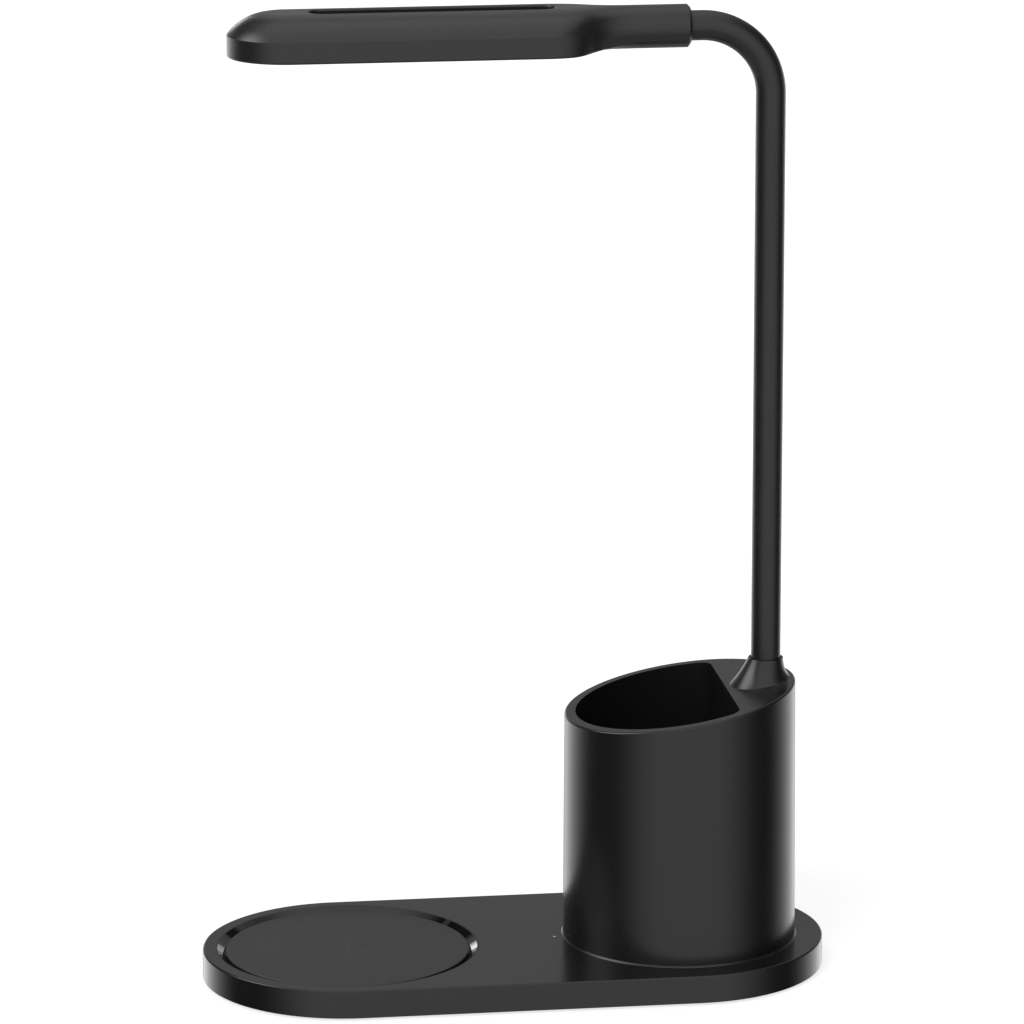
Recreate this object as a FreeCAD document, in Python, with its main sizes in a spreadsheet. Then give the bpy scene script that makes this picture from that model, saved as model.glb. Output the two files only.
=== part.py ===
import FreeCAD, Part
import math
import os
import Sketcher

# Desk lamp with a wireless-charging base, a pen cup and a flexible arm, in millimetres.
# The origin is the middle of the base's footprint on the desk. +X runs along the base from the
# charging pad towards the pen cup, +Y points to the back, where the power socket is, +Z is up.

Vector = FreeCAD.Vector
UP = Vector(0, 0, 1)
FULL_TURN = 360
HALF_TURN = 180
QUARTER_TURN = 90

SIZES = (
    ("ends_apart", 131.2, "middles of the base's two end arcs, apart"),
    ("base_width", 113, "base, front to back"),
    ("base_wall", 2.2, "side wall of the base shell"),
    ("base_roof", 2.2, "top wall of the base shell"),
    ("base_round", 0.7, "rounding of the base's top edge"),
    ("foot_lift", 1, "gap between the desk and the base shell"),
    ("cover_thickness", 1.8, "bottom cover"),
    ("cover_gap", 0.25, "play between bottom cover and base wall"),
    ("foot_radius", 8, "anti-slip foot"),
    ("foot_sink", 0.8, "depth of a foot's seat in the cover"),
    ("foot_gap", 0.2, "play round a foot in its seat"),
    ("foot_inset", 14.3, "feet, from the base's inner wall to their middles"),
    ("foot_along_share", 0.6, "feet, along the base from the end arc's middle"),
    ("foot_across_share", 0.8, "feet, across the base from the end arc's middle"),
    ("cover_boss_radius", 3, "bosses for the cover's screws"),
    ("end_boss_inset", 10.2, "end bosses, from the base's inner wall to their middles"),
    ("end_boss_along_share", 0.839, "end bosses, along the base from the end arc's middle"),
    ("end_boss_across_share", 0.5442, "end bosses, across the base from the end arc's middle"),
    ("mid_boss_inset", 10.3, "middle bosses, from the base's inner wall to their middles"),
    ("mid_boss_gap", 9, "middle bosses, left of the main circuit board"),
    ("screw_radius", 1.15, "small screws, shank"),
    ("screw_head_radius", 2.3, "small screws, head"),
    ("screw_head_height", 1.1, "small screws, head"),
    ("cover_screw_length", 6, "cover screws, whole length"),
    ("screw_gap", 0.1, "play round a screw's shank"),
    ("head_gap", 0.3, "play round a screw's head in its counterbore"),
    ("slot_width", 0.5, "cross recess in a screw's head, width"),
    ("pilot_extra", 0.6, "how much deeper a pilot hole is than its screw"),
    ("pad_border", 5.2, "base's edge to the round recess in its top"),
    ("ring_width", 3.8, "recess's wall to the charging pad disc"),
    ("pad_sink", 0.95, "disc's top below the base's top"),
    ("pad_thickness", 1.82, "charging pad disc"),
    ("pad_floor", 1.3, "wall of the base shell under the disc"),
    ("pad_rim_wall", 1.8, "wall of the base shell round the recess"),
    ("pad_edge", 0.2, "chamfer on the disc's edge"),
    ("disc_gap", 0.35, "groove between the disc and the trim ring"),
    ("ring_gap", 0.1, "play between trim ring and the recess's wall"),
    ("ring_low", 0.8, "trim ring's inner edge above the disc's seat"),
    ("ring_land", 0.4, "flat land on top of the trim ring"),
    ("ring_drop", 0.05, "trim ring's land below the base's top"),
    ("mark_reach", 12.5, "plus mark on the disc, length of an arm"),
    ("mark_width", 1.6, "plus mark on the disc, width of an arm"),
    ("mark_depth", 0.05, "plus mark on the disc, depth"),
    ("board_thickness", 1.2, "circuit boards"),
    ("board_clear", 0.5, "board screws' heads above the bottom cover"),
    ("board_boss_radius", 2.4, "bosses that the boards hang from"),
    ("board_boss_inset", 3.5, "board bosses, from the board's edges"),
    ("board_screw_length", 4, "board screws, whole length"),
    ("charging_board_share", 1.17, "charging circuit board's side, against the recess's radius"),
    ("ferrite_gap", 1, "ferrite disc to the parts along the charging board's edges"),
    ("ferrite_thickness", 0.8, "ferrite disc under the coil"),
    ("coil_inner_share", 0.38, "charging coil's first turn, against the ferrite disc's radius"),
    ("coil_border", 1.5, "ferrite disc past the coil's last turn"),
    ("coil_wire_radius", 0.45, "charging coil wire"),
    ("coil_lift", 0.1, "glue line under the coil"),
    ("coil_clear", 0.43, "coil below the base shell"),
    ("chip_length", 9, "chip on the charging board"),
    ("chip_width", 4, "parts on the charging board, along the board's edge strip"),
    ("chip_height", 1.6, "parts on the charging board"),
    ("chip_spread", 8, "chips on the charging board, from its middle line"),
    ("main_board_length", 30, "main circuit board along the base"),
    ("main_board_front", 30, "main circuit board, front edge from the middle line"),
    ("board_edge_gap", 0.3, "main circuit board's back edge to the base's wall"),
    ("inductor_side", 7, "inductor on the main board"),
    ("inductor_height", 2.6, "inductor on the main board"),
    ("connector_depth", 2.8, "wire connectors on the boards"),
    ("connector_width", 7, "wire connectors on the boards"),
    ("connector_height", 3.4, "wire connectors on the boards"),
    ("coil_lead_radius", 0.9, "lead between the two boards"),
    ("coil_lead_across", 12, "lead between the boards, in front of the middle line"),
    ("coil_lead_lift", 1.1, "lead between the boards, axis above the boards"),
    ("socket_width", 9, "power socket, outside"),
    ("socket_height", 3.2, "power socket, outside"),
    ("socket_shell", 0.35, "power socket, sheet thickness"),
    ("socket_depth", 7.3, "power socket, front to back"),
    ("socket_set_back", 0.2, "power socket's mouth behind the base's back face"),
    ("socket_gap", 0.4, "play round the power socket in the wall"),
    ("tongue_width", 6.7, "tongue in the power socket"),
    ("tongue_height", 0.7, "tongue in the power socket"),
    ("tongue_set_back", 1, "tongue's tip behind the socket's mouth"),
    ("light_border", 3.7, "indicator light, left of the pen cup's foot"),
    ("light_on_board", 10.2, "indicator light, right of the main circuit board's middle"),
    ("light_radius", 0.6, "indicator light pipe, at the surface"),
    ("light_flange_radius", 1.3, "indicator light pipe, inside the base"),
    ("light_gap", 0.1, "play round the light pipe, and above its emitter"),
    ("emitter_side", 1.8, "indicator light emitter"),
    ("emitter_height", 0.9, "indicator light emitter"),
    ("ballast_space", 7, "main circuit board to the steel ballast plate"),
    ("ballast_thickness", 3.2, "steel ballast plate"),
    ("ballast_gap", 1, "play round the ballast plate"),
    ("cup_foot_radius", 45.7, "pen cup, outside, at the base"),
    ("cup_draft_share", 0.0072, "how much the cup's radius shrinks with its height"),
    ("cup_wall", 4.2, "pen cup, wall round the pocket"),
    ("cup_floor", 4.5, "pen cup, floor of the pocket"),
    ("cup_flare", 0.6, "pen cup, flared edge at its foot"),
    ("rim_round", 0.8, "pen cup, rounding of the rim's outer edge"),
    ("rim_height", 96.6, "pen cup's rim above the base's top, at the cup's axis"),
    ("rim_slope_share", 0.157, "rise of the slanted rim along the base"),
    ("arm_to_pocket", 15.9, "arm's axis to the pen pocket's flat side"),
    ("pocket_corner", 6.5, "rounded corners of the pen pocket"),
    ("divider", 2.6, "wall between the pen pocket and the arm's chamber"),
    ("chamber_wall", 3, "wall round the arm's chamber"),
    ("chamber_drop", 0.5, "ceiling of the arm's chamber below the rim at the cup's axis"),
    ("cup_screw_radius", 1.45, "cup screws, shank"),
    ("cup_screw_head_radius", 2.8, "cup screws, head"),
    ("cup_screw_head_height", 1.8, "cup screws, head"),
    ("cup_screw_length", 7.6, "cup screws, whole length"),
    ("near_screw_x", 8, "cup screws by the divider, right of the cup's axis"),
    ("near_screw_y", 33, "cup screws by the divider, from the middle line"),
    ("far_screw_x", 28, "cup screws at the front of the cup, left of the cup's axis"),
    ("far_screw_y", 20, "cup screws at the front of the cup, from the middle line"),
    ("arm_inset", 11.9, "arm's axis, inside the cup's foot circle"),
    ("collar_foot_wall", 4.7, "arm collar's wall at its foot"),
    ("collar_shift", 2.3, "arm collar's foot, left of the arm's axis"),
    ("collar_lip", 0.85, "arm collar's wall at its top"),
    ("collar_waist", 0.7, "how far the collar's hollow curve draws in, half-way up"),
    ("collar_height", 8.8, "arm collar's top above the rim's plane, at the arm's axis"),
    ("ferrule_wall", 1.25, "arm ferrule's wall"),
    ("ferrule_flange_width", 1.4, "arm ferrule's flange past its thread"),
    ("ferrule_flange", 1.6, "arm ferrule, flange thickness"),
    ("ferrule_tail", 8, "arm ferrule, thread below the chamber's ceiling"),
    ("ferrule_head", 1.2, "arm ferrule above its flange"),
    ("ferrule_gap", 0.2, "play round the ferrule in the cup and collar"),
    ("washer_width", 1.8, "washer past the ferrule's thread"),
    ("washer_thickness", 0.8, "washer under the chamber's ceiling"),
    ("nut_width", 2.4, "lock nut's corners past the ferrule's thread"),
    ("nut_height", 3.6, "lock nut"),
    ("sleeve_radius", 5.75, "arm sleeve, outside"),
    ("sleeve_gap", 0.1, "play between arm core and sleeve"),
    ("core_radius", 4.2, "arm core, wound steel, outside"),
    ("core_bore", 2.1, "arm core, bore radius"),
    ("core_gap", 0.05, "play round the core in ferrule and neck clamp"),
    ("joint_gap", 6, "gap between two stiff lengths of the core, where the arm bends"),
    ("bend_radius", 26.7, "arm's bend, along its axis"),
    ("arm_height", 371.5, "axis of the lamp head's neck above the desk"),
    ("entry_gap", 0.2, "play round the sleeve where it enters collar and neck"),
    ("sleeve_in_neck", 3, "how far the sleeve runs into the neck"),
    ("core_in_neck", 17, "how far the core runs into the neck"),
    ("lead_radius", 1.4, "lamp lead inside the arm"),
    ("lead_lift", 2.1, "lamp lead's axis above the boards' top, in the base"),
    ("lead_turn", 7.4, "lamp lead's bend from base to cup"),
    ("lead_hole_radius", 6, "hole in the base's top for the lamp lead"),
    ("neck_start", 31.5, "end of the head's neck, left of the arm's axis"),
    ("neck_wall", 2.3, "wall of the head's neck round the sleeve"),
    ("neck_length", 33.6, "head's neck, from its mouth to the end of the head's arc"),
    ("neck_flare", 28, "hollow curve from the neck to the head"),
    ("neck_turn_share", 0.25, "where the head's section begins to turn round, along the neck's hollow curve"),
    ("neck_chamfer", 1, "chamfer at the neck's mouth"),
    ("neck_gap", 0.3, "play round the neck clamp"),
    ("neck_play", 0.1, "play along the neck clamp's flange in its groove"),
    ("clamp_cover", 1.25, "neck's outside to the clamp's flange"),
    ("clamp_flange", 2, "neck clamp, flange thickness"),
    ("clamp_length", 13, "neck clamp, whole length"),
    ("head_band", 8.25, "upright band round the head, up to the seam"),
    ("dome_height", 8.25, "domed top above the seam"),
    ("dome_run", 16, "how far the dome curves in before it is flat"),
    ("head_wall", 2, "lamp head's walls"),
    ("head_round", 0.8, "rounding of the head's bottom edge"),
    ("slot_near", 2, "flat top between the slot and the dome, at the neck end"),
    ("slot_far", 15, "flat top between the slot and the dome, at the tip"),
    ("slot_side", 1, "flat top between the slot and the dome, at the sides"),
    ("slot_depth", 3, "slot on top of the head, down to its panel"),
    ("slot_rim", 1.5, "wall round the slot"),
    ("slot_round", 0.7, "rounding of the slot's upper edge"),
    ("panel_thickness", 1, "panel under the slot"),
    ("window_half_length", 56, "light window under the head, half its length"),
    ("window_half_width", 16.5, "light window under the head, half its width"),
    ("window_end", 15.1, "light window to the head's ends"),
    ("window_side", 6.2, "light window to the head's sides"),
    ("diffuser_gap", 0.2, "play round the diffuser in its window"),
    ("diffuser_lip", 2, "diffuser's lip on the window's edge"),
    ("diffuser_lip_height", 1.2, "diffuser's lip, thickness"),
    ("diffuser_set_back", 0.4, "diffuser's face above the head's bottom"),
    ("lead_over_board", 0.05, "lamp lead above the LED board"),
    ("reflector_wall", 1.4, "reflector frame, wall"),
    ("led_board_thickness", 1, "aluminium LED board"),
    ("led_length", 3.5, "LED chip, along the head"),
    ("led_width", 2.8, "LED chip, across the head"),
    ("led_height", 0.7, "LED chip"),
    ("led_end", 4, "last LED chips' middles to the window's ends"),
    ("led_side", 9.5, "LED rows' middles to the window's sides"),
    ("head_boss_wall", 0.3, "head bosses, wall round a screw's counterbore"),
    ("head_boss_gap", 1.2, "head bosses, from the diffuser's lip"),
    ("head_screw_length", 10, "head screws, whole length"),
    ("head_counterbore", 1.4, "head screws' heads, above the head's bottom"),
    ("neck_screw_along_share", 0.9115, "head screws at the neck end, along the head"),
    ("neck_screw_across_share", 0.3982, "head screws at the neck end, across the head"),
    ("lead_on_board", 8, "lamp lead's end on the LED board"),
    ("touch_length", 30, "touch switch plate"),
    ("touch_border", 2.7, "touch switch plate inside the panel's sides"),
    ("touch_thickness", 0.5, "touch switch plate"),
    ("overrun", 1, "how far a cutting shape runs past what it cuts"),
)

COIL_TURNS = 10
POINTS_PER_TURN = 48
LEDS_PER_ROW = 14
STRAIGHT_ZONES = 4
HEX_SIDES = 6
NECK_SECTIONS = 14
RUN_STEPS = 6
LEVEL_SHARE = 1e-5

doc = FreeCAD.newDocument("desk_lamp")
sheet = doc.addObject("Spreadsheet::Sheet", "Sizes")
for row, (alias, value, words) in enumerate(SIZES, start=1):
    sheet.set(f"A{row}", words)
    sheet.set(f"B{row}", str(value))
    sheet.setAlias(f"B{row}", alias)
doc.recompute()


class Size:
    """A number together with the formula that the document's objects are bound to."""

    def __init__(self, value, formula):
        self.value = float(value)
        self.formula = formula

    def __float__(self):
        return self.value

    def __add__(self, other):
        other = sized(other)
        return Size(self.value + other.value, f"({self.formula} + {other.formula})")

    def __sub__(self, other):
        other = sized(other)
        return Size(self.value - other.value, f"({self.formula} - {other.formula})")

    def __mul__(self, other):
        other = sized(other)
        return Size(self.value * other.value, f"({self.formula} * {other.formula})")

    def __truediv__(self, other):
        other = sized(other)
        return Size(self.value / other.value, f"({self.formula} / {other.formula})")

    def __neg__(self):
        return Size(-self.value, f"(0 - {self.formula})")

    def __lt__(self, other):
        return self.value < float(other)

    __radd__ = __add__
    __rmul__ = __mul__


def sized(number):
    return number if isinstance(number, Size) else Size(number, str(number))


class Sheet:
    """The sheet's cells by their names."""

    def __getattr__(self, alias):
        return Size(getattr(sheet, alias), f"{sheet.Name}.{alias}")


s = Sheet()
ZERO = sized(0)

# Places that several pieces share
end_x = s.ends_apart / 2
pad_x = -end_x
cup_x = end_x
arm_offset = s.cup_foot_radius - s.arm_inset
arm_x = cup_x + arm_offset
cover_top = s.foot_lift + s.cover_thickness
board_under = cover_top + s.screw_head_height + s.board_clear
board_top = board_under + s.board_thickness
pad_under = board_top + s.ferrite_thickness + s.coil_lift + 2 * s.coil_wire_radius + s.coil_clear
pad_seat = pad_under + s.pad_floor
pad_top = pad_seat + s.pad_thickness
base_top = pad_top + s.pad_sink
roof_under = base_top - s.base_roof
inner_half = s.base_width / 2 - s.base_wall
pad_recess = s.base_width / 2 - s.pad_border
pad_radius = pad_recess - s.ring_width
charging_side = pad_recess * s.charging_board_share
ferrite_radius = charging_side / 2 - s.chip_width - s.ferrite_gap
light_x = cup_x - s.cup_foot_radius - s.light_border
main_x = light_x - s.light_on_board
socket_mouth = s.base_width / 2 - s.socket_set_back
socket_start = socket_mouth - s.socket_depth
main_back = inner_half - s.board_edge_gap
lead_z = board_top + s.lead_lift

CORNERS = [(side, across) for side in (-1, 1) for across in (-1, 1)]
boss_circle, foot_circle = inner_half - s.end_boss_inset, inner_half - s.foot_inset
mid_boss_x = main_x - s.main_board_length / 2 - s.mid_boss_gap
COVER_SCREWS = [
    (side * (end_x + boss_circle * s.end_boss_along_share), across * boss_circle * s.end_boss_across_share)
    for side, across in CORNERS
] + [(mid_boss_x, across * (inner_half - s.mid_boss_inset)) for across in (-1, 1)]
FEET = [
    (side * (end_x + foot_circle * s.foot_along_share), across * foot_circle * s.foot_across_share)
    for side, across in CORNERS
]
charging_reach = charging_side / 2 - s.board_boss_inset
main_reach = s.main_board_length / 2 - s.board_boss_inset
CHARGING_SCREWS = [(pad_x + i * charging_reach, j * charging_reach) for i in (-1, 1) for j in (-1, 1)]
MAIN_SCREWS = [
    (main_x + i * main_reach, y)
    for i in (-1, 1)
    for y in (s.board_boss_inset - s.main_board_front, main_back - s.board_boss_inset * 3)
]
CUP_SCREWS = [(s.near_screw_x, j * s.near_screw_y) for j in (-1, 1)] + [
    (-s.far_screw_x, j * s.far_screw_y) for j in (-1, 1)
]


def bind(thing, name, size):
    """Ties one property of a document object to a size's formula."""
    thing.setExpression(name, sized(size).formula)


def put(thing, x=ZERO, y=ZERO, z=ZERO):
    """Ties an object's place to three sizes."""
    for axis, size in zip("xyz", (x, y, z)):
        bind(thing, f"Placement.Base.{axis}", size)
    return thing


def new_body(label):
    return doc.addObject("PartDesign::Body", label)


def sketch_on(body, role, offset=ZERO):
    """A sketch on one of the body's own origin planes, moved along the plane's normal."""
    plane = next(f for f in body.Origin.OriginFeatures if f.Role == role)
    sketch = body.newObject("Sketcher::SketchObject", f"{body.Name}_sketch")
    sketch.AttachmentSupport = (plane, [""])
    sketch.MapMode = "FlatFace"
    bind(sketch, "AttachmentOffset.Base.z", offset)
    return sketch


def fix(sketch, kind, *where, size):
    """Adds one dimension to a sketch and ties it to a size."""
    number = sketch.addConstraint(Sketcher.Constraint(kind, *where, float(size)))
    bind(sketch, f"Constraints[{number}]", size)


def fix_point(sketch, line, end, x, y):
    fix(sketch, "DistanceX", -1, 1, line, end, size=x)
    fix(sketch, "DistanceY", -1, 1, line, end, size=y)


def add_polygon(sketch, corners):
    """A closed outline through the given corners."""
    first = sketch.GeometryCount
    places = [Vector(float(x), float(y), 0) for x, y in corners]
    count = len(corners)
    for i, start in enumerate(places):
        sketch.addGeometry(Part.LineSegment(start, places[(i + 1) % count]), False)
    for i in range(count):
        sketch.addConstraint(Sketcher.Constraint("Coincident", first + i, 2, first + (i + 1) % count, 1))
    for i, (x, y) in enumerate(corners):
        fix_point(sketch, first + i, 1, sized(x), sized(y))
    return sketch


def add_rectangle(sketch, x0, x1, y0, y1):
    return add_polygon(sketch, [(x0, y0), (x1, y0), (x1, y1), (x0, y1)])


def add_circles(sketch, places, radius):
    for x, y in places:
        x, y = sized(x), sized(y)
        circle = Part.Circle(Vector(float(x), float(y), 0), UP, float(radius))
        number = sketch.addGeometry(circle, False)
        fix_point(sketch, number, 3, x, y)
        fix(sketch, "Radius", number, size=sized(radius))
    return sketch


def arc_of(x, y, radius, start, end):
    circle = Part.Circle(Vector(float(x), float(y), 0), UP, float(radius))
    return Part.ArcOfCircle(circle, math.radians(start), math.radians(end))


def add_stadium(sketch, reach, radius, middle=ZERO):
    """Two half circles round (middle - reach) and (middle + reach), joined by straight sides."""
    left, right, radius = middle - reach, middle + reach, sized(radius)
    r = float(radius)
    first = sketch.GeometryCount
    sketch.addGeometry(arc_of(right, 0, r, -QUARTER_TURN, QUARTER_TURN), False)
    sketch.addGeometry(Part.LineSegment(Vector(float(right), r, 0), Vector(float(left), r, 0)), False)
    sketch.addGeometry(arc_of(left, 0, r, QUARTER_TURN, HALF_TURN + QUARTER_TURN), False)
    sketch.addGeometry(Part.LineSegment(Vector(float(left), -r, 0), Vector(float(right), -r, 0)), False)
    for i in range(4):
        sketch.addConstraint(Sketcher.Constraint("Tangent", first + i, 2, first + (i + 1) % 4, 1))
    fix_point(sketch, first, 3, right, ZERO)
    fix_point(sketch, first + 2, 3, left, ZERO)
    fix(sketch, "Radius", first, size=radius)
    return sketch


def pad_up(body, sketch, length):
    pad = body.newObject("PartDesign::Pad", f"{body.Name}_pad")
    pad.Profile = sketch
    bind(pad, "Length", length)
    sketch.Visibility = False
    return pad


def pocket(body, sketch, length, up=False, both_ways=False):
    """Cuts against the sketch's normal, or along it when up is true, or both ways."""
    cut = body.newObject("PartDesign::Pocket", f"{body.Name}_pocket")
    cut.Profile = sketch
    bind(cut, "Length", length)
    cut.Reversed = up
    if both_ways:
        cut.Midplane = True
    sketch.Visibility = False
    return cut


def revolve(body, sketch):
    turned = body.newObject("PartDesign::Revolution", f"{body.Name}_revolution")
    turned.Profile = sketch
    turned.ReferenceAxis = (sketch, ["V_Axis"])
    turned.Angle = FULL_TURN
    return turned


def turned_body(label, corners):
    """A piece turned round its own Z axis from an outline of (radius, height) corners."""
    body = new_body(label)
    revolve(body, add_polygon(sketch_on(body, "XZ_Plane"), corners))
    return body


def edge_names(shape, test):
    return [f"Edge{i}" for i, edge in enumerate(shape.Edges, start=1) if test(edge)]


def round_edges(body, base, radius, test):
    """Rounds the edges of the body's last feature that pass a test of their geometry."""
    doc.recompute()
    fillet = body.newObject("PartDesign::Fillet", f"{body.Name}_fillet")
    fillet.Base = (base, edge_names(base.Shape, test))
    bind(fillet, "Radius", radius)
    return fillet


def lies_at(edge, height):
    """True for an edge that lies level at this height."""
    box = edge.BoundBox
    near = edge.Length * LEVEL_SHARE
    return abs(box.ZMin - float(height)) < near and abs(box.ZMax - float(height)) < near


def feature(label, shape):
    """A sub-part whose shape is worked out here from the sheet's sizes."""
    thing = doc.addObject("Part::Feature", label)
    thing.Shape = shape
    return thing


def cylinder(radius, height, x=0, y=0, z=0, axis=UP):
    return Part.makeCylinder(float(radius), float(height), Vector(float(x), float(y), float(z)), axis)


def block(x0, x1, y0, y1, z0, z1):
    x0, x1, y0, y1, z0, z1 = (float(v) for v in (x0, x1, y0, y1, z0, z1))
    return Part.makeBox(x1 - x0, y1 - y0, z1 - z0, Vector(x0, y0, z0))


def stadium_prism(middle, reach, radius, z0, z1):
    """An upright obround block: reach is from its middle to each end's centre."""
    middle, reach, radius, z0, z1 = (float(v) for v in (middle, reach, radius, z0, z1))
    shape = block(middle - reach, middle + reach, -radius, radius, z0, z1)
    for end in (middle - reach, middle + reach):
        shape = shape.fuse(cylinder(radius, z1 - z0, end, 0, z0))
    return shape.removeSplitter()


def screw(radius, length, head_radius, head_height):
    """A screw that points up from the origin, with a cross recess under its head."""
    radius, length, head_radius, head_height = (float(v) for v in (radius, length, head_radius, head_height))
    slot = float(s.slot_width)
    shape = cylinder(head_radius, head_height).fuse(cylinder(radius, length))
    reach = head_radius / 2
    across = block(-reach, reach, -slot / 2, slot / 2, 0, head_height / 2)
    along = block(-slot / 2, slot / 2, -reach, reach, 0, head_height / 2)
    return shape.removeSplitter().cut(across.fuse(along))


def screw_group(label, places, height, *sizes):
    """Like screws in one node, each a solid of its own."""
    copies = []
    for x, y in places:
        copy = screw(*sizes)
        copy.translate(Vector(float(x), float(y), float(height)))
        copies.append(copy)
    return feature(label, Part.makeCompound(copies))


# Base
def make_base_shell():
    """Top and side walls in one moulding, with a stepped floor under the charging pad."""
    body = new_body("base_upper_shell")
    height = base_top - s.foot_lift
    outer = pad_up(body, add_stadium(sketch_on(body, "XY_Plane", s.foot_lift), end_x, s.base_width / 2), height)
    round_edges(body, outer, s.base_round, lambda edge: lies_at(edge, base_top))
    inside = add_stadium(sketch_on(body, "XY_Plane", s.foot_lift), end_x, inner_half)
    pocket(body, inside, roof_under - s.foot_lift, up=True)
    step = add_circles(sketch_on(body, "XY_Plane", pad_under), [(pad_x, ZERO)], pad_recess + s.pad_rim_wall)
    pad_up(body, step, roof_under - pad_under + s.base_roof / 2)
    for places, radius, bottom in (
        (COVER_SCREWS, s.cover_boss_radius, cover_top),
        (CHARGING_SCREWS + MAIN_SCREWS, s.board_boss_radius, board_top),
    ):
        sketch = add_circles(sketch_on(body, "XY_Plane", bottom), places, radius)
        pad_up(body, sketch, roof_under - bottom + s.base_roof / 2)
    recess = add_circles(sketch_on(body, "XY_Plane", base_top), [(pad_x, ZERO)], pad_recess)
    pocket(body, recess, base_top - pad_seat)
    in_boss = s.board_screw_length - s.screw_head_height - s.board_thickness
    for places, bottom, depth in (
        (COVER_SCREWS, cover_top, s.cover_screw_length - s.cover_thickness),
        (CHARGING_SCREWS + MAIN_SCREWS, board_top, in_boss),
    ):
        holes = add_circles(sketch_on(body, "XY_Plane", bottom), places, s.screw_radius + s.screw_gap)
        pocket(body, holes, depth + s.pilot_extra, up=True)
    cup_places = [(cup_x + x, y) for x, y in CUP_SCREWS]
    for places, radius in (
        (cup_places, s.cup_screw_radius + s.screw_gap),
        ([(arm_x, ZERO)], s.lead_hole_radius),
        ([(light_x, ZERO)], s.light_radius + s.light_gap),
    ):
        holes = add_circles(sketch_on(body, "XY_Plane", base_top), places, radius)
        pocket(body, holes, s.base_roof)
    mouth = sketch_on(body, "XZ_Plane", -(s.base_width / 2 - s.base_wall / 2))
    half = s.socket_width / 2 + s.socket_gap
    low, high = board_top - s.socket_gap, board_top + s.socket_height + s.socket_gap
    add_rectangle(mouth, main_x - half, main_x + half, low, high)
    pocket(body, mouth, s.base_wall + s.overrun, both_ways=True)
    return body


def make_bottom_cover():
    body = new_body("base_bottom_cover")
    outline = add_stadium(sketch_on(body, "XY_Plane", s.foot_lift), end_x, inner_half - s.cover_gap)
    pad_up(body, outline, s.cover_thickness)
    seats = add_circles(sketch_on(body, "XY_Plane", s.foot_lift), FEET, s.foot_radius + s.foot_gap)
    pocket(body, seats, s.foot_sink, up=True)
    holes = add_circles(sketch_on(body, "XY_Plane", s.foot_lift), COVER_SCREWS, s.screw_radius + s.screw_gap)
    pocket(body, holes, s.cover_thickness, up=True)
    sinks = add_circles(sketch_on(body, "XY_Plane", s.foot_lift), COVER_SCREWS, s.screw_head_radius + s.head_gap)
    pocket(body, sinks, s.screw_head_height, up=True)
    return body


def make_feet():
    height = s.foot_lift + s.foot_sink
    return feature("antislip_feet", Part.makeCompound([cylinder(s.foot_radius, height, x, y) for x, y in FEET]))


def make_ballast():
    """Half a stadium of steel plate under the pen cup, with holes for the cover's bosses."""
    body = new_body("ballast_plate")
    sketch = sketch_on(body, "XY_Plane", cover_top)
    radius, ballast_start = inner_half - s.ballast_gap, main_x + s.main_board_length / 2 + s.ballast_space
    x0, xc, r = float(ballast_start), float(end_x), float(radius)
    sketch.addGeometry(arc_of(xc, 0, r, -QUARTER_TURN, QUARTER_TURN), False)
    for start, end in (((xc, r), (x0, r)), ((x0, r), (x0, -r)), ((x0, -r), (xc, -r))):
        sketch.addGeometry(Part.LineSegment(Vector(*start, 0), Vector(*end, 0)), False)
    for line, other, kind in ((0, 1, "Tangent"), (1, 2, "Coincident"), (2, 3, "Coincident"), (3, 0, "Tangent")):
        sketch.addConstraint(Sketcher.Constraint(kind, line, 2, other, 1))
    fix_point(sketch, 0, 3, end_x, ZERO)
    fix(sketch, "Radius", 0, size=radius)
    sketch.addConstraint(Sketcher.Constraint("Vertical", 2))
    sketch.addConstraint(Sketcher.Constraint("Horizontal", 1))
    sketch.addConstraint(Sketcher.Constraint("Horizontal", 3))
    fix(sketch, "DistanceX", -1, 1, 2, 1, size=ballast_start)
    pad_up(body, sketch, s.ballast_thickness)
    holes = sketch_on(body, "XY_Plane", cover_top)
    add_circles(holes, COVER_SCREWS[2:4], s.cover_boss_radius + s.ballast_gap)
    pocket(body, holes, s.ballast_thickness, up=True)
    return body


def make_base_screws():
    screw_group(
        "base_cover_screws",
        COVER_SCREWS,
        s.foot_lift,
        s.screw_radius,
        s.cover_screw_length,
        s.screw_head_radius,
        s.screw_head_height,
    )
    screw_group(
        "board_screws",
        CHARGING_SCREWS + MAIN_SCREWS,
        board_under - s.screw_head_height,
        s.screw_radius,
        s.board_screw_length,
        s.screw_head_radius,
        s.screw_head_height,
    )


# Charging pad and electronics
def make_pad():
    """The disc is turned, then a shallow plus mark is cut into its top."""
    t, r, e = s.pad_thickness, pad_radius, s.pad_edge
    disc = turned_body("charging_pad_disc", [(ZERO, ZERO), (r, ZERO), (r, t - e), (r - e, t), (ZERO, t)])
    a, w = s.mark_reach, s.mark_width / 2
    quarter = [(w, w), (w, a), (-w, a), (-w, w), (-a, w), (-a, -w), (-w, -w), (-w, -a), (w, -a), (w, -w), (a, -w)]
    mark = add_polygon(sketch_on(disc, "XY_Plane", t), quarter + [(a, w)])
    pocket(disc, mark, s.mark_depth)
    put(disc, pad_x, ZERO, pad_seat)
    inner, outer, high = pad_radius + s.disc_gap, pad_recess - s.ring_gap, base_top - pad_seat - s.ring_drop
    corners = [(inner, ZERO), (outer, ZERO), (outer, high), (outer - s.ring_land, high), (inner, s.ring_low)]
    put(turned_body("pad_trim_ring", corners), pad_x, ZERO, pad_seat)


def box_object(label, length, width, height, x, y, z):
    """A block centred on (x, y) that stands on z."""
    box = doc.addObject("Part::Box", label)
    bind(box, "Length", length)
    bind(box, "Width", width)
    bind(box, "Height", height)
    return put(box, x - length / 2, y - width / 2, z)


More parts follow.
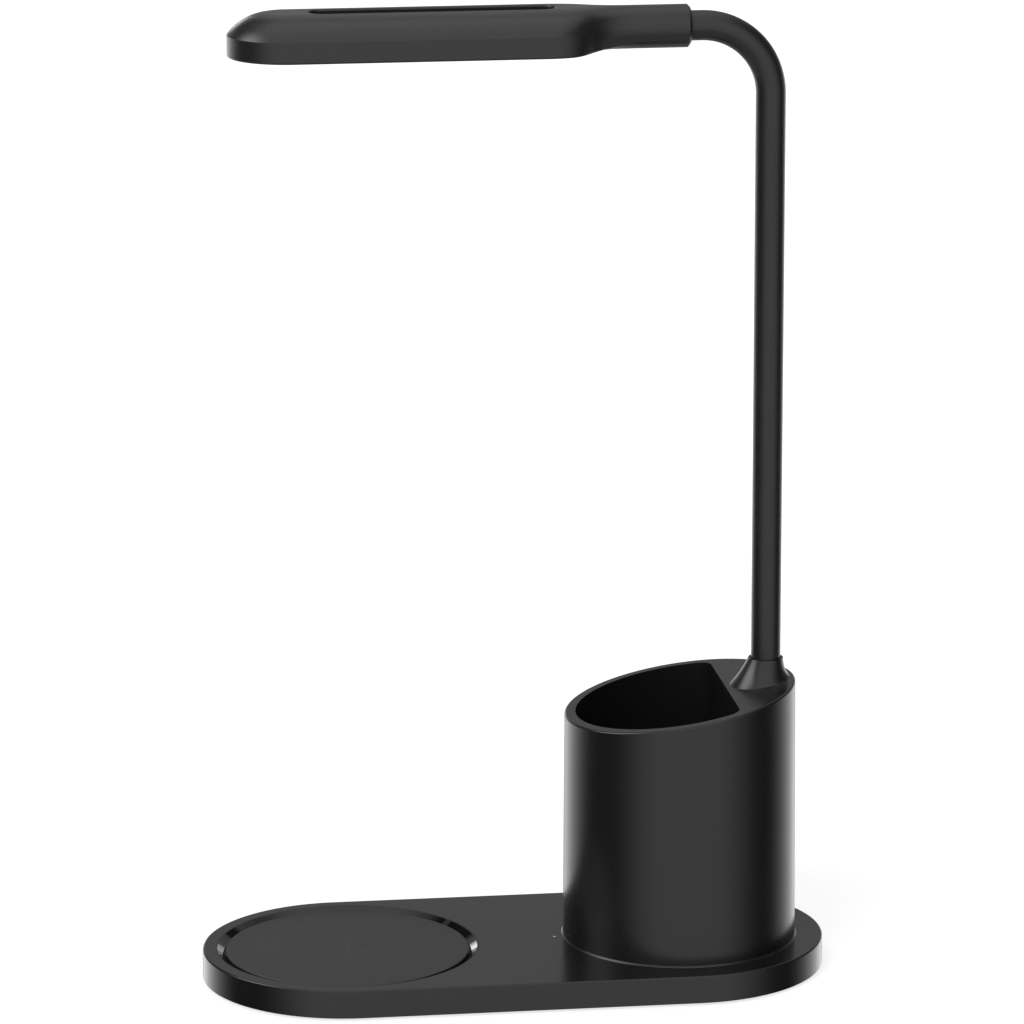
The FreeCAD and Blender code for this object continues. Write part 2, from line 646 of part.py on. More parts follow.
def drilled(label, plate, places, radius, height):
    """A plate with round holes through it."""
    holes = [cylinder(radius, float(height) + 2 * float(s.overrun), x, y) for x, y in places]
    tool = feature(f"{label}_holes", Part.makeCompound(holes))
    put(tool, z=board_under - s.overrun)
    cut = doc.addObject("Part::Cut", label)
    cut.Base, cut.Tool = plate, tool
    return cut


def make_boards():
    side = charging_side
    plate = box_object("charging_plate", side, side, s.board_thickness, pad_x, ZERO, board_under)
    drilled("charging_circuit_board", plate, CHARGING_SCREWS, s.screw_radius + s.screw_gap, s.board_thickness)
    depth = s.main_board_front + main_back
    middle = (main_back - s.main_board_front) / 2
    plate = box_object(
        "main_plate", s.main_board_length, depth, s.board_thickness, main_x, middle, board_under
    )
    drilled("main_circuit_board", plate, MAIN_SCREWS, s.screw_radius + s.screw_gap, s.board_thickness)


def make_coil():
    """A flat spiral of half circles whose centres take turns, so that the wire stays smooth."""
    ferrite = doc.addObject("Part::Cylinder", "ferrite_sheet")
    bind(ferrite, "Radius", ferrite_radius)
    bind(ferrite, "Height", s.ferrite_thickness)
    put(ferrite, pad_x, ZERO, board_top)
    inner, wire = float(ferrite_radius * s.coil_inner_share), float(s.coil_wire_radius)
    pitch = (float(ferrite_radius - s.coil_border) - inner) / COIL_TURNS
    radius, centre, side = inner, 0, 1
    arcs, points = [], []
    for _ in range(2 * COIL_TURNS):
        start = Vector(centre + side * radius, 0, 0)
        top = Vector(centre, side * radius, 0)
        end = Vector(centre - side * radius, 0, 0)
        arcs.append(Part.Arc(start, top, end).toShape())
        points += arcs[-1].discretize(POINTS_PER_TURN // 2)
        centre = pitch / 2 - centre
        radius += pitch / 2
        side = -side
    start = Vector(inner, 0, 0)
    profile = Part.Wire(Part.Circle(start, Vector(0, 1, 0), wire).toShape())
    coil = feature("charging_coil", Part.Wire(arcs).makePipeShell([profile], True, False))
    lift = board_top + s.ferrite_thickness + s.coil_lift + s.coil_wire_radius
    put(coil, pad_x, ZERO, lift)
    far = POINTS_PER_TURN // 2
    gaps = [a.distanceToPoint(b) for i, a in enumerate(points) for b in points[i + far :]]
    print("coil: least gap between turns", round(min(gaps) - 2 * wire, 3), "mm")


def make_board_parts():
    """Chips and connectors soldered on the two boards."""
    top = board_top
    edge = charging_side / 2 - s.chip_width / 2
    right = pad_x + charging_side / 2
    length, width, height = s.chip_length, s.chip_width, s.chip_height
    chips = [
        block(x - length / 2, x + length / 2, y - width / 2, y + width / 2, top, top + height)
        for x, y in ((pad_x - s.chip_spread, edge), (pad_x + s.chip_spread, edge), (pad_x, -edge))
    ]
    front, back = -s.coil_lead_across - s.chip_width / 2, s.chip_width / 2 - s.coil_lead_across
    wide = s.coil_lead_lift + s.coil_lead_radius
    chips.append(block(right - s.connector_depth, right, front, back, top, top + wide))
    feature("charging_board_parts", Part.makeCompound(chips))
    left, right = main_x - s.main_board_length / 2, main_x + s.main_board_length / 2
    half = s.inductor_side / 2
    y = main_back / 2
    parts = [
        block(left, left + s.connector_depth, front, back, top, top + wide),
        block(
            right - s.connector_depth,
            right,
            -s.connector_width / 2,
            s.connector_width / 2,
            top,
            top + s.connector_height,
        ),
        block(main_x - half, main_x + half, y - half, y + half, top, top + s.inductor_height),
        block(main_x - half, main_x + half, -y, -y + half, top, top + s.chip_height),
    ]
    feature("main_board_parts", Part.makeCompound(parts))
    box_object("indicator_emitter", s.emitter_side, s.emitter_side, s.emitter_height, light_x, ZERO, top)
    r, wide, low = s.light_radius, s.light_flange_radius, board_top + s.emitter_height + s.light_gap
    tall, step = base_top - low, roof_under - low - s.light_gap
    pipe = [(ZERO, ZERO), (wide, ZERO), (wide, step), (r, step), (r, tall), (ZERO, tall)]
    put(turned_body("indicator_light_pipe", pipe), light_x, ZERO, low)


def make_socket():
    """A rounded sheet-metal mouth with a tongue, open to the back of the base."""
    depth = s.socket_depth
    middle_z = board_top + s.socket_height / 2
    half_height = s.socket_height / 2
    reach = s.socket_width / 2 - half_height
    thin = s.socket_shell

    def mouth(radius, length):
        shape = stadium_prism(0, reach, radius, 0, length)
        shape.rotate(Vector(0, 0, 0), Vector(1, 0, 0), -QUARTER_TURN)
        return shape

    bore = mouth(half_height - thin, depth)
    bore.translate(Vector(0, float(thin), 0))
    shell = feature("power_socket_shell", mouth(half_height, depth).cut(bore))
    put(shell, main_x, socket_start, middle_z)
    length = depth - thin - s.tongue_set_back
    y = socket_start + thin + length / 2
    box_object(
        "power_socket_tongue",
        s.tongue_width,
        length,
        s.tongue_height,
        main_x,
        y,
        middle_z - s.tongue_height / 2,
    )


def make_coil_lead():
    start = pad_x + charging_side / 2
    length = main_x - s.main_board_length / 2 - start
    lead = doc.addObject("Part::Cylinder", "coil_lead")
    bind(lead, "Radius", s.coil_lead_radius)
    bind(lead, "Height", length)
    lead.Placement.Rotation = FreeCAD.Rotation(Vector(0, 1, 0), QUARTER_TURN)
    put(lead, start, -s.coil_lead_across, board_top + s.coil_lead_lift)


# Pen cup, in its own frame: the origin is on the cup's axis at the base's top
blank_height = s.rim_height + s.rim_slope_share * (s.cup_foot_radius + s.overrun) + s.overrun
rim_radius = s.cup_foot_radius - s.cup_draft_share * s.rim_height
pocket_radius = rim_radius - s.cup_wall
pocket_chord = arm_offset - s.arm_to_pocket
chamber_height = s.rim_height - s.chamber_drop
ferrule_radius = s.core_radius + s.core_gap + s.ferrule_wall
flange_radius = ferrule_radius + s.ferrule_flange_width
arm_seat = s.rim_height + s.rim_slope_share * (arm_offset + flange_radius)


def rim_at(x):
    """Height of the slanted rim's plane in the cup's own frame."""
    return s.rim_height + s.rim_slope_share * x


def add_pocket_outline(sketch):
    """A circle cut off by a straight chord, with rounded corners."""
    r, c, q = float(pocket_radius), float(pocket_chord), float(s.pocket_corner)
    inset = c - q
    across = math.sqrt((r - q) ** 2 - inset**2)
    turn = math.degrees(math.atan2(across, inset))
    sketch.addGeometry(arc_of(0, 0, r, turn, FULL_TURN - turn), False)
    sketch.addGeometry(arc_of(inset, -across, q, FULL_TURN - turn, FULL_TURN), False)
    sketch.addGeometry(Part.LineSegment(Vector(c, -across, 0), Vector(c, across, 0)), False)
    sketch.addGeometry(arc_of(inset, across, q, 0, turn), False)
    for i in range(4):
        sketch.addConstraint(Sketcher.Constraint("Tangent", i, 2, (i + 1) % 4, 1))
    fix_point(sketch, 0, 3, ZERO, ZERO)
    fix(sketch, "Radius", 0, size=pocket_radius)
    fix(sketch, "Radius", 1, size=s.pocket_corner)
    fix(sketch, "Radius", 3, size=s.pocket_corner)
    sketch.addConstraint(Sketcher.Constraint("Vertical", 2))
    fix(sketch, "DistanceX", -1, 1, 2, 1, size=pocket_chord)
    return sketch


def add_chamber_outline(sketch):
    """The segment between the divider and the cup's wall."""
    radius, chord = rim_radius - s.chamber_wall, pocket_chord + s.divider
    r, c = float(radius), float(chord)
    across = math.sqrt(r**2 - c**2)
    turn = math.degrees(math.atan2(across, c))
    sketch.addGeometry(arc_of(0, 0, r, -turn, turn), False)
    sketch.addGeometry(Part.LineSegment(Vector(c, across, 0), Vector(c, -across, 0)), False)
    for i in range(2):
        sketch.addConstraint(Sketcher.Constraint("Coincident", i, 2, 1 - i, 1))
    fix_point(sketch, 0, 3, ZERO, ZERO)
    fix(sketch, "Radius", 0, size=radius)
    sketch.addConstraint(Sketcher.Constraint("Vertical", 1))
    fix(sketch, "DistanceX", -1, 1, 1, 1, size=chord)
    return sketch


def make_cup():
    foot, top = s.cup_foot_radius, s.cup_foot_radius - s.cup_draft_share * blank_height
    corners = [(ZERO, ZERO), (foot + s.cup_flare, ZERO), (foot, s.cup_flare), (top, blank_height), (ZERO, blank_height)]
    body = turned_body("pen_cup_shell", corners)
    far = foot + s.overrun
    wedge = [(-far, rim_at(-far)), (far, rim_at(far)), (far, blank_height + far), (-far, blank_height + far)]
    slanted = pocket(body, add_polygon(sketch_on(body, "XZ_Plane"), wedge), far * 2, both_ways=True)
    low = float(s.rim_height) / 2
    round_edges(body, slanted, s.rim_round, lambda edge: edge.BoundBox.ZMin > low)
    seat = add_circles(sketch_on(body, "XY_Plane", chamber_height), [(arm_offset, ZERO)], flange_radius)
    pad_up(body, seat, arm_seat - chamber_height)
    pocket(body, add_pocket_outline(sketch_on(body, "XY_Plane", blank_height)), blank_height - s.cup_floor)
    pocket(body, add_chamber_outline(sketch_on(body, "XY_Plane")), chamber_height, up=True)
    hole = [(arm_offset, ZERO)]
    through = add_circles(sketch_on(body, "XY_Plane", chamber_height), hole, ferrule_radius + s.ferrule_gap)
    pocket(body, through, blank_height - chamber_height, up=True)
    screws = add_circles(sketch_on(body, "XY_Plane"), CUP_SCREWS, s.cup_screw_radius + s.screw_gap)
    depth = s.cup_screw_length - s.cup_screw_head_height - s.base_roof + s.pilot_extra / 2
    pocket(body, screws, depth, up=True)
    put(body, cup_x, ZERO, base_top)
    screw_group(
        "cup_screws",
        [(cup_x + x, y) for x, y in CUP_SCREWS],
        roof_under - s.cup_screw_head_height,
        s.cup_screw_radius,
        s.cup_screw_length,
        s.cup_screw_head_radius,
        s.cup_screw_head_height,
    )


# Arm foot: collar, ferrule, washer and nut
arm_rim = base_top + rim_at(arm_offset)
collar_top = arm_rim + s.collar_height
seat_z = base_top + arm_seat
ceiling_z = base_top + chamber_height
ferrule_top = seat_z + s.ferrule_flange + s.ferrule_head


def make_collar():
    """A flared cone whose foot lies on the slanted rim, hollow for the ferrule's flange."""
    slope = float(s.rim_slope_share)
    normal = Vector(-slope, 0, 1).normalize()
    foot_x = float(arm_offset - s.collar_shift)
    foot_centre = Vector(float(cup_x) + foot_x, 0, float(base_top + rim_at(arm_offset - s.collar_shift)))
    foot_radius = float(flange_radius + s.ferrule_gap + s.collar_foot_wall)
    top_radius = float(s.sleeve_radius + s.entry_gap + s.collar_lip)
    foot = Part.Circle(foot_centre, normal, foot_radius)
    top_centre = Vector(float(arm_x), 0, float(collar_top))
    waist_radius = (foot_radius + top_radius) / 2 - float(s.collar_waist)
    waist = Part.Circle((foot_centre + top_centre) / 2, (normal + UP).normalize(), waist_radius)
    rings = (foot, waist, Part.Circle(top_centre, UP, top_radius))
    cone = Part.makeLoft([Part.Wire(ring.toShape()) for ring in rings], True, False)
    low = float(base_top + s.rim_height)
    flange_top = float(seat_z + s.ferrule_flange + s.ferrule_gap)
    hollow = cylinder(flange_radius + s.ferrule_gap, flange_top - low, arm_x, 0, low)
    bore = cylinder(s.sleeve_radius + s.entry_gap, float(collar_top + s.overrun) - low, arm_x, 0, low)
    feature("arm_collar", cone.cut(hollow.fuse(bore)))


def make_ferrule():
    bore, thread, flange = s.core_radius + s.core_gap, ferrule_radius, flange_radius
    low, seat = ceiling_z - s.ferrule_tail, seat_z
    corners = [
        (bore, low),
        (thread, low),
        (thread, seat),
        (flange, seat),
        (flange, seat + s.ferrule_flange),
        (thread, seat + s.ferrule_flange),
        (thread, ferrule_top),
        (bore, ferrule_top),
    ]
    put(turned_body("arm_ferrule", corners), arm_x)
    hole = ferrule_radius + s.core_gap
    low = ceiling_z - s.washer_thickness
    wide = ferrule_radius + s.washer_width
    washer = [(hole, low), (wide, low), (wide, ceiling_z), (hole, ceiling_z)]
    put(turned_body("ferrule_washer", washer), arm_x)
    nut = doc.addObject("Part::Prism", "nut_blank")
    nut.Polygon = HEX_SIDES
    bind(nut, "Circumradius", ferrule_radius + s.nut_width)
    bind(nut, "Height", s.nut_height)
    nut.Placement.Rotation = FreeCAD.Rotation(UP, HALF_TURN / HEX_SIDES)
    put(nut, arm_x, ZERO, low - s.nut_height)
    thread_hole = doc.addObject("Part::Cylinder", "nut_thread")
    bind(thread_hole, "Radius", hole)
    bind(thread_hole, "Height", s.nut_height + s.overrun * 2)
    put(thread_hole, arm_x, ZERO, low - s.nut_height - s.overrun)
    cut = doc.addObject("Part::Cut", "ferrule_nut")
    cut.Base, cut.Tool = nut, thread_hole


# Arm, laid out along its own line: up from the collar, round the bend, then level to the head
straight_length = s.arm_height - s.bend_radius - collar_top
bend_length = s.bend_radius * (math.pi / 2)
zone = straight_length / STRAIGHT_ZONES
JOINTS = [zone * (i + 0.5) for i in range(STRAIGHT_ZONES)] + [straight_length + bend_length / 2]
neck_mouth = straight_length + bend_length + s.neck_start - s.bend_radius


def arm_runs(start, end):
    """The pieces of the arm's line between two lengths along it, as (kind, from, to)."""
    up_to, round_to = float(straight_length), float(straight_length + bend_length)
    far = float(neck_mouth + s.core_in_neck * 4)
    spans = (("up", -far, up_to), ("bend", up_to, round_to), ("level", round_to, far))
    runs = []
    for kind, low, high in spans:
        a, b = max(start, low), min(end, high)
        if b > a:
            runs.append((kind, a, b))
    return runs


def arm_rod(start, end, radius):
    """A round rod along the arm's line."""
    start, end, radius = float(start), float(end), float(radius)
    x, top, bend = float(arm_x), float(s.arm_height), float(s.bend_radius)
    parts = []
    for kind, a, b in arm_runs(start, end):
        if kind == "up":
            parts.append(cylinder(radius, b - a, x, 0, float(collar_top) + a))
        elif kind == "level":
            past = float(straight_length + bend_length)
            place = x - bend - (a - past)
            parts.append(cylinder(radius, b - a, place, 0, top, Vector(-1, 0, 0)))
        else:
            first, last = (math.degrees((v - float(straight_length)) / bend) for v in (a, b))
            centre = Vector(x - bend, 0, top - bend)
            disc = Part.Face(Part.Wire(Part.Circle(Vector(x, 0, top - bend), UP, radius).toShape()))
            disc.rotate(centre, Vector(0, -1, 0), first)
            parts.append(disc.revolve(centre, Vector(0, -1, 0), last - first))
    shape = parts[0]
    for part in parts[1:]:
        shape = shape.fuse(part)
    return shape.removeSplitter()


def arm_tube(start, end, outer, inner):
    """A tube along the arm's line. Its bore runs on where the tube's ends are straight."""
    return arm_rod(start, end, outer).cut(arm_rod(start, end, inner))


def make_arm():
    """One stiff length of core and sleeve for each moving part of the arm."""
    gap = float(s.joint_gap) / 2
    stops = [float(j) for j in JOINTS]
    foot = float(ceiling_z - collar_top) - float(s.nut_height)
    core_ends = [foot] + stops + [float(neck_mouth + s.core_in_neck)]
    sleeve_ends = [float(ferrule_top - collar_top)] + stops + [float(neck_mouth + s.sleeve_in_neck)]
    names = ["foot"] + [str(i + 1) for i in range(STRAIGHT_ZONES)] + ["head"]
    for i, name in enumerate(names):
        start = core_ends[i] + (gap if i else 0)
        end = core_ends[i + 1] - (gap if i + 1 < len(names) else 0)
        feature(f"arm_core_{name}", arm_tube(start, end, s.core_radius, s.core_bore))
        bore = s.core_radius + s.sleeve_gap
        feature(f"arm_sleeve_{name}", arm_tube(sleeve_ends[i], sleeve_ends[i + 1], s.sleeve_radius, bore))


def make_lamp_lead():
    """From the main board under the cup, up the chamber and through the arm to the LED board."""
    radius, turn = float(s.lead_radius), float(s.lead_turn)
    x, z = float(arm_x), float(lead_z)
    start = float(main_x + s.main_board_length / 2)
    level = cylinder(radius, x - turn - start, start, 0, z, Vector(1, 0, 0))
    centre = Vector(x - turn, 0, z + turn)
    disc = Part.Face(Part.Wire(Part.Circle(Vector(x - turn, 0, z), Vector(1, 0, 0), radius).toShape()))
    elbow = disc.revolve(centre, Vector(0, -1, 0), QUARTER_TURN)
    low = z + turn - float(collar_top)
    high = neck_mouth + s.neck_length + s.window_end - s.diffuser_lip + s.lead_on_board
    feature("lamp_lead", level.fuse(elbow).fuse(arm_rod(low, high, radius)).removeSplitter())


# Lamp head
head_length = 2 * (s.window_half_length + s.window_end)
head_width = 2 * (s.window_half_width + s.window_side)
neck_radius = s.sleeve_radius + s.entry_gap + s.neck_wall
clamp_flange_radius = neck_radius - s.clamp_cover
head_x = arm_x - s.neck_start - s.neck_length - head_length / 2
seam_z = s.arm_height
head_bottom = seam_z - s.head_band
head_top = seam_z + s.dome_height
head_reach = (head_length - head_width) / 2
inner_floor = head_bottom + s.head_wall
board_z = seam_z - s.lead_radius - s.lead_over_board - s.led_board_thickness
neck_lip = s.core_in_neck - s.clamp_length
slot_x = head_x + (s.slot_far - s.slot_near) / 2
slot_half_length = head_length / 2 - s.dome_run - (s.slot_far + s.slot_near) / 2
slot_half_width = head_width / 2 - s.dome_run - s.slot_side
head_boss_radius = s.screw_head_radius + s.head_gap + s.head_boss_wall
lip_to_boss = s.diffuser_lip + s.head_boss_gap + head_boss_radius
window_reach = s.window_half_length - s.window_half_width
neck_screw = s.window_half_width + lip_to_boss
HEAD_SCREWS = [(head_x - s.window_half_length - lip_to_boss, ZERO)] + [
    (head_x + window_reach + neck_screw * s.neck_screw_along_share, j * neck_screw * s.neck_screw_across_share)
    for j in (-1, 1)
]


def head_corners(inset):
    """Half-width, depth below the seam and height above it of the head's section, and its dome."""
    half, low, high = head_width / 2 - inset, s.head_band - inset, s.dome_height - inset
    half, low, high, run = float(half), float(low), float(high), float(s.dome_run)
    return half, low, high, run, (run**2 + high**2) / (2 * high)


def head_runs(inset):
    """The head's section as runs of points about the seam's middle, from the seam over the top."""
    half, low, high, run, dome = head_corners(inset)
    edge = float(s.head_round)
    first = math.asin((dome - high) / dome)
    shares = [i / RUN_STEPS for i in range(RUN_STEPS + 1)]
    turns = [first + (math.pi / 2 - first) * share for share in shares]
    over = [(half - run + dome * math.cos(turn), high - dome + dome * math.sin(turn)) for turn in turns]
    under = [
        (half - edge + edge * math.cos(turn), edge - low - edge * math.sin(turn))
        for turn in (math.pi / 2 * share for share in shares)
    ]
    side = [(half, (edge - low) * share) for share in shares]
    top = [((half - run) * (1 - 2 * share), high) for share in shares]
    bottom = [((half - edge) * (2 * share - 1), -low) for share in shares]
    mirrored = [[(-y, z) for y, z in reversed(points)] for points in (over, side, under)]
    return [over, top, mirrored[0]] + [mirrored[1], mirrored[2], bottom] + [under[::-1], side[::-1]]


def section_wire(x, inset, half_width, share, drawn_in=0):
    """The head's section at x, drawn in to a half-width and turned by a share towards a circle."""
    half, low, high, _, _ = head_corners(inset)
    neck, seam = float(neck_radius - inset) - drawn_in, float(seam_z)
    edges = []
    for run in head_runs(inset):
        points = []
        for y, z in run:
            tall = high if z > 0 else low
            wide, rise = y / half, z / tall
            scale = (1 - share) + share / math.hypot(wide, rise)
            tall = tall * (1 - share) + neck * share
            points.append(Vector(x, wide * scale * half_width, seam + rise * scale * tall))
        curve = Part.BSplineCurve()
        curve.interpolate(Points=points, Parameters=[i / RUN_STEPS for i in range(RUN_STEPS + 1)])
        edges.append(curve.toShape())
    return Part.Wire(edges)


def head_form(inset):
    """The head's outside, or its hollow when inset by the wall, without the neck end."""
    half, low, high, run, _ = head_corners(inset)
    reach, x, edge = float(head_reach), float(head_x), float(s.head_round)
    section = section_wire(x - reach, inset, half, 0)
    form = Part.Face(section).extrude(Vector(2 * reach, 0, 0))
    centre = Vector(x - reach, 0, float(seam_z))
    above, below = Vector(0, 0, high), Vector(0, 0, -low)
    edges = [section.Edges[i] for i in (0, 6, 7)]
    edges += [
        Part.LineSegment(centre + above + Vector(0, half - run, 0), centre + above).toShape(),
        Part.LineSegment(centre + above, centre + below).toShape(),
        Part.LineSegment(centre + below, centre + below + Vector(0, half - edge, 0)).toShape(),
    ]
    face = Part.Face(Part.Wire(Part.sortEdges(edges)[0]))
    return form.fuse(face.revolve(centre, UP, HALF_TURN)).removeSplitter()


def neck_form(inset, mouth, chamfer):
    """The neck: the head's section draws in along a hollow curve, turns round and runs level."""
    neck, flare = float(neck_radius - inset), float(s.neck_flare + inset)
    end_radius, end_x = float(head_width / 2 - inset), float(head_x + head_reach)
    mouth, chamfer = float(mouth), float(chamfer)
    length = math.sqrt((end_radius + flare) ** 2 - (neck + flare) ** 2)
    touch = length * end_radius / (end_radius + flare)
    start = float(s.neck_turn_share)
    wires = []
    for i in range(NECK_SECTIONS + 1):
        along = length * (1 - math.cos(math.pi * i / NECK_SECTIONS)) / 2
        if along < touch:
            wide = math.sqrt(end_radius**2 - along**2)
        else:
            wide = neck + flare - math.sqrt(flare**2 - (length - along) ** 2)
        share = min(max((along / length - start) / (1 - start), 0), 1)
        wires.append(section_wire(end_x + along, inset, wide, share * share * (3 - 2 * share)))
    form = Part.makeLoft(wires, True, False)
    level = mouth - chamfer - end_x - length
    form = form.fuse(Part.Face(wires[-1]).extrude(Vector(level, 0, 0)))
    if chamfer:
        ends = [section_wire(mouth - chamfer, inset, neck, 1), section_wire(mouth, inset, neck - chamfer, 1, chamfer)]
        form = form.fuse(Part.makeLoft(ends, True, True))
    return form


def make_head():
    """One outer form with a hollow, parted at the seam into a lower and an upper shell."""
    mouth = arm_x - s.neck_start
    outer = head_form(ZERO).fuse(neck_form(ZERO, mouth, s.neck_chamfer)).removeSplitter()
    hollow = head_form(s.head_wall).fuse(neck_form(s.head_wall, mouth - neck_lip, ZERO))
    along = Vector(1, 0, 0)
    low, length = mouth - neck_lip - s.overrun, neck_lip + s.overrun * 2
    hollow = hollow.fuse(cylinder(s.sleeve_radius + s.entry_gap, length, low, 0, seam_z, along))
    low, length = mouth - s.core_in_neck - s.neck_play, s.clamp_flange + s.neck_play * 2
    hollow = hollow.fuse(cylinder(clamp_flange_radius + s.neck_gap, length, low, 0, seam_z, along))
    far = float(head_length)
    x, z = float(head_x), float(seam_z)
    below = block(x - far, x + far, -far, far, z - far, z)
    above = block(x - far, x + far, -far, far, z, z + far)
    radius, hole = float(head_boss_radius), float(s.screw_radius + s.screw_gap)
    sink, low = float(s.screw_head_radius + s.head_gap), float(head_bottom)
    body = outer.cut(hollow)
    window = stadium_prism(head_x, window_reach, s.window_half_width, head_bottom - s.overrun, inner_floor + s.overrun)
    lower = body.common(below)
    upper = body.common(above)
    for px, py in HEAD_SCREWS:
        lower = lower.fuse(cylinder(radius, s.head_band, px, py, head_bottom))
        boss = cylinder(radius, s.dome_height - s.head_wall / 2, px, py, seam_z)
        upper = upper.fuse(boss.common(outer))
    for px, py in HEAD_SCREWS:
        lower = lower.cut(cylinder(sink, s.head_counterbore + s.screw_head_height, px, py, head_bottom))
        lower = lower.cut(cylinder(hole, s.head_band, px, py, head_bottom))
        depth = s.head_screw_length + s.head_counterbore - s.head_band + s.pilot_extra
        upper = upper.cut(cylinder(hole, depth, px, py, seam_z))
    lower = lower.cut(window)
    slot_reach = slot_half_length - slot_half_width
    rim_low = head_top - s.slot_depth
    rim = stadium_prism(slot_x, slot_reach, slot_half_width + s.slot_rim, rim_low, head_top - s.head_wall / 2)
    slot = stadium_prism(slot_x, slot_reach, slot_half_width, rim_low - s.overrun, head_top + s.overrun)
    upper = upper.fuse(rim).cut(slot).removeSplitter()
    reach = float(slot_half_length) + float(s.slot_side) / 2
    lip = [e for e in upper.Edges if lies_at(e, head_top) and abs(e.BoundBox.Center.x - float(slot_x)) < reach]
    lip = [e for e in lip if max(-e.BoundBox.YMin, e.BoundBox.YMax) < float(slot_half_width + s.slot_side / 2)]
    upper = upper.makeFillet(float(s.slot_round), lip)
    feature("head_lower_shell", lower.removeSplitter())
    feature("head_upper_shell", upper.removeSplitter())
    screw_group(
        "head_screws",
        HEAD_SCREWS,
        head_bottom + s.head_counterbore,
        s.screw_radius,
        s.head_screw_length,
        s.screw_head_radius,
        s.screw_head_height,
    )
    panel_low = rim_low - s.panel_thickness
    feature("head_slot_panel", stadium_prism(slot_x, slot_reach, slot_half_width + s.slot_rim, panel_low, rim_low))
    box_object(
        "touch_switch_plate",
        s.touch_length,
        2 * (slot_half_width + s.slot_rim - s.touch_border),
        s.touch_thickness,
        slot_x,
        ZERO,
        panel_low - s.touch_thickness,
    )


def make_light():
    """Diffuser, reflector frame, LED board and its chips, stacked above the window."""
    reach, wide = window_reach, s.window_half_width + s.diffuser_lip
    lip = stadium_prism(head_x, reach, wide, inner_floor, inner_floor + s.diffuser_lip_height)
    face = stadium_prism(
        head_x,
        reach,
        s.window_half_width - s.diffuser_gap,
        head_bottom + s.diffuser_set_back,
        inner_floor + s.diffuser_lip_height,
    )
    feature("diffuser", lip.fuse(face).removeSplitter())
    low = inner_floor + s.diffuser_lip_height
    ring = stadium_prism(head_x, reach, wide, low, board_z)
    opening = stadium_prism(head_x, reach, wide - s.reflector_wall, low - s.overrun, board_z + s.overrun)
    feature("reflector_frame", ring.cut(opening))
    feature("led_board", stadium_prism(head_x, reach, wide, board_z, board_z + s.led_board_thickness))
    chips, pitch = [], (s.window_half_length - s.led_end) / ((LEDS_PER_ROW - 1) / 2)
    for i in range(LEDS_PER_ROW):
        x = head_x + pitch * (i - (LEDS_PER_ROW - 1) / 2)
        for side in (-1, 1):
            y = side * (s.window_half_width - s.led_side)
            chips.append(
                block(
                    x - s.led_length / 2,
                    x + s.led_length / 2,
                    y - s.led_width / 2,
                    y + s.led_width / 2,
                    board_z - s.led_height,
                    board_z,
                )
            )
    feature("led_chips", Part.makeCompound(chips))


def make_neck_clamp():
    """A turned bush on the core's end, with a flange that the two head shells trap."""
    bore, flange = s.core_radius + s.core_gap, clamp_flange_radius
    outer = neck_radius - s.head_wall - s.neck_gap
    corners = [
        (bore, ZERO),
        (flange, ZERO),
        (flange, s.clamp_flange),
        (outer, s.clamp_flange),
        (outer, s.clamp_length),
        (bore, s.clamp_length),
    ]
    clamp = turned_body("neck_clamp", corners)
    clamp.Placement.Rotation = FreeCAD.Rotation(Vector(0, 1, 0), QUARTER_TURN)
    put(clamp, arm_x - s.neck_start - s.core_in_neck, ZERO, seam_z)


make_base_shell()
make_bottom_cover()
make_feet()
make_ballast()
make_base_screws()
make_pad()
make_boards()
make_coil()
make_board_parts()
make_socket()
make_coil_lead()
make_cup()
make_collar()
make_ferrule()
make_arm()
make_lamp_lead()
make_head()
make_light()
make_neck_clamp()
doc.recompute()

HELPERS = {"charging_plate", "main_plate", "nut_blank", "nut_thread"}
PIECES = [
    thing
    for thing in doc.Objects
    if thing.TypeId in ("PartDesign::Body", "Part::Feature", "Part::Box", "Part::Cylinder", "Part::Cut")
    and thing.Name not in HELPERS
    and not thing.Name.endswith("_holes")
]
for thing in doc.Objects:
    if "Invalid" in thing.State or "Error" in thing.State:
        raise RuntimeError(f"{thing.Name} failed: {thing.State}")
for piece in PIECES:
    if piece.Shape.isNull() or not piece.Shape.isValid() or not piece.Shape.Solids:
        raise RuntimeError(f"{piece.Label} has no valid solid")
os.makedirs("parts", exist_ok=True)
for piece in PIECES:
    piece.Shape.exportStep(f"parts/{piece.Label}.step")
print(len(PIECES), "pieces,", sum(len(piece.Shape.Solids) for piece in PIECES), "solids")
for index, place in enumerate(JOINTS, start=1):
    print("arm joint", index, "lies", round(float(place), 3), "mm along the arm from the collar's top")
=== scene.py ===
import math

import bmesh
import bpy
from mathutils import Matrix, Vector


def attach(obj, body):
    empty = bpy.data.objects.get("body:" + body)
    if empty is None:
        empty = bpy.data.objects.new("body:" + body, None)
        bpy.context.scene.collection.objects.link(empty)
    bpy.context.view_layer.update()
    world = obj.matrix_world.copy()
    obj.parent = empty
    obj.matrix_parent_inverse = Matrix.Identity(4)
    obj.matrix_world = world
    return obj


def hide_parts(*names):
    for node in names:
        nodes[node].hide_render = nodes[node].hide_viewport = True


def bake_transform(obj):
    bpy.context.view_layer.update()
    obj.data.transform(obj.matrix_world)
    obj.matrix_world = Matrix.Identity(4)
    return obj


# Desk lamp with a wireless-charging base, a pen cup and a flexible arm. Metres, in the frame of
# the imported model: +X from the charging pad to the pen cup, +Y to the back, +Z up from the desk.

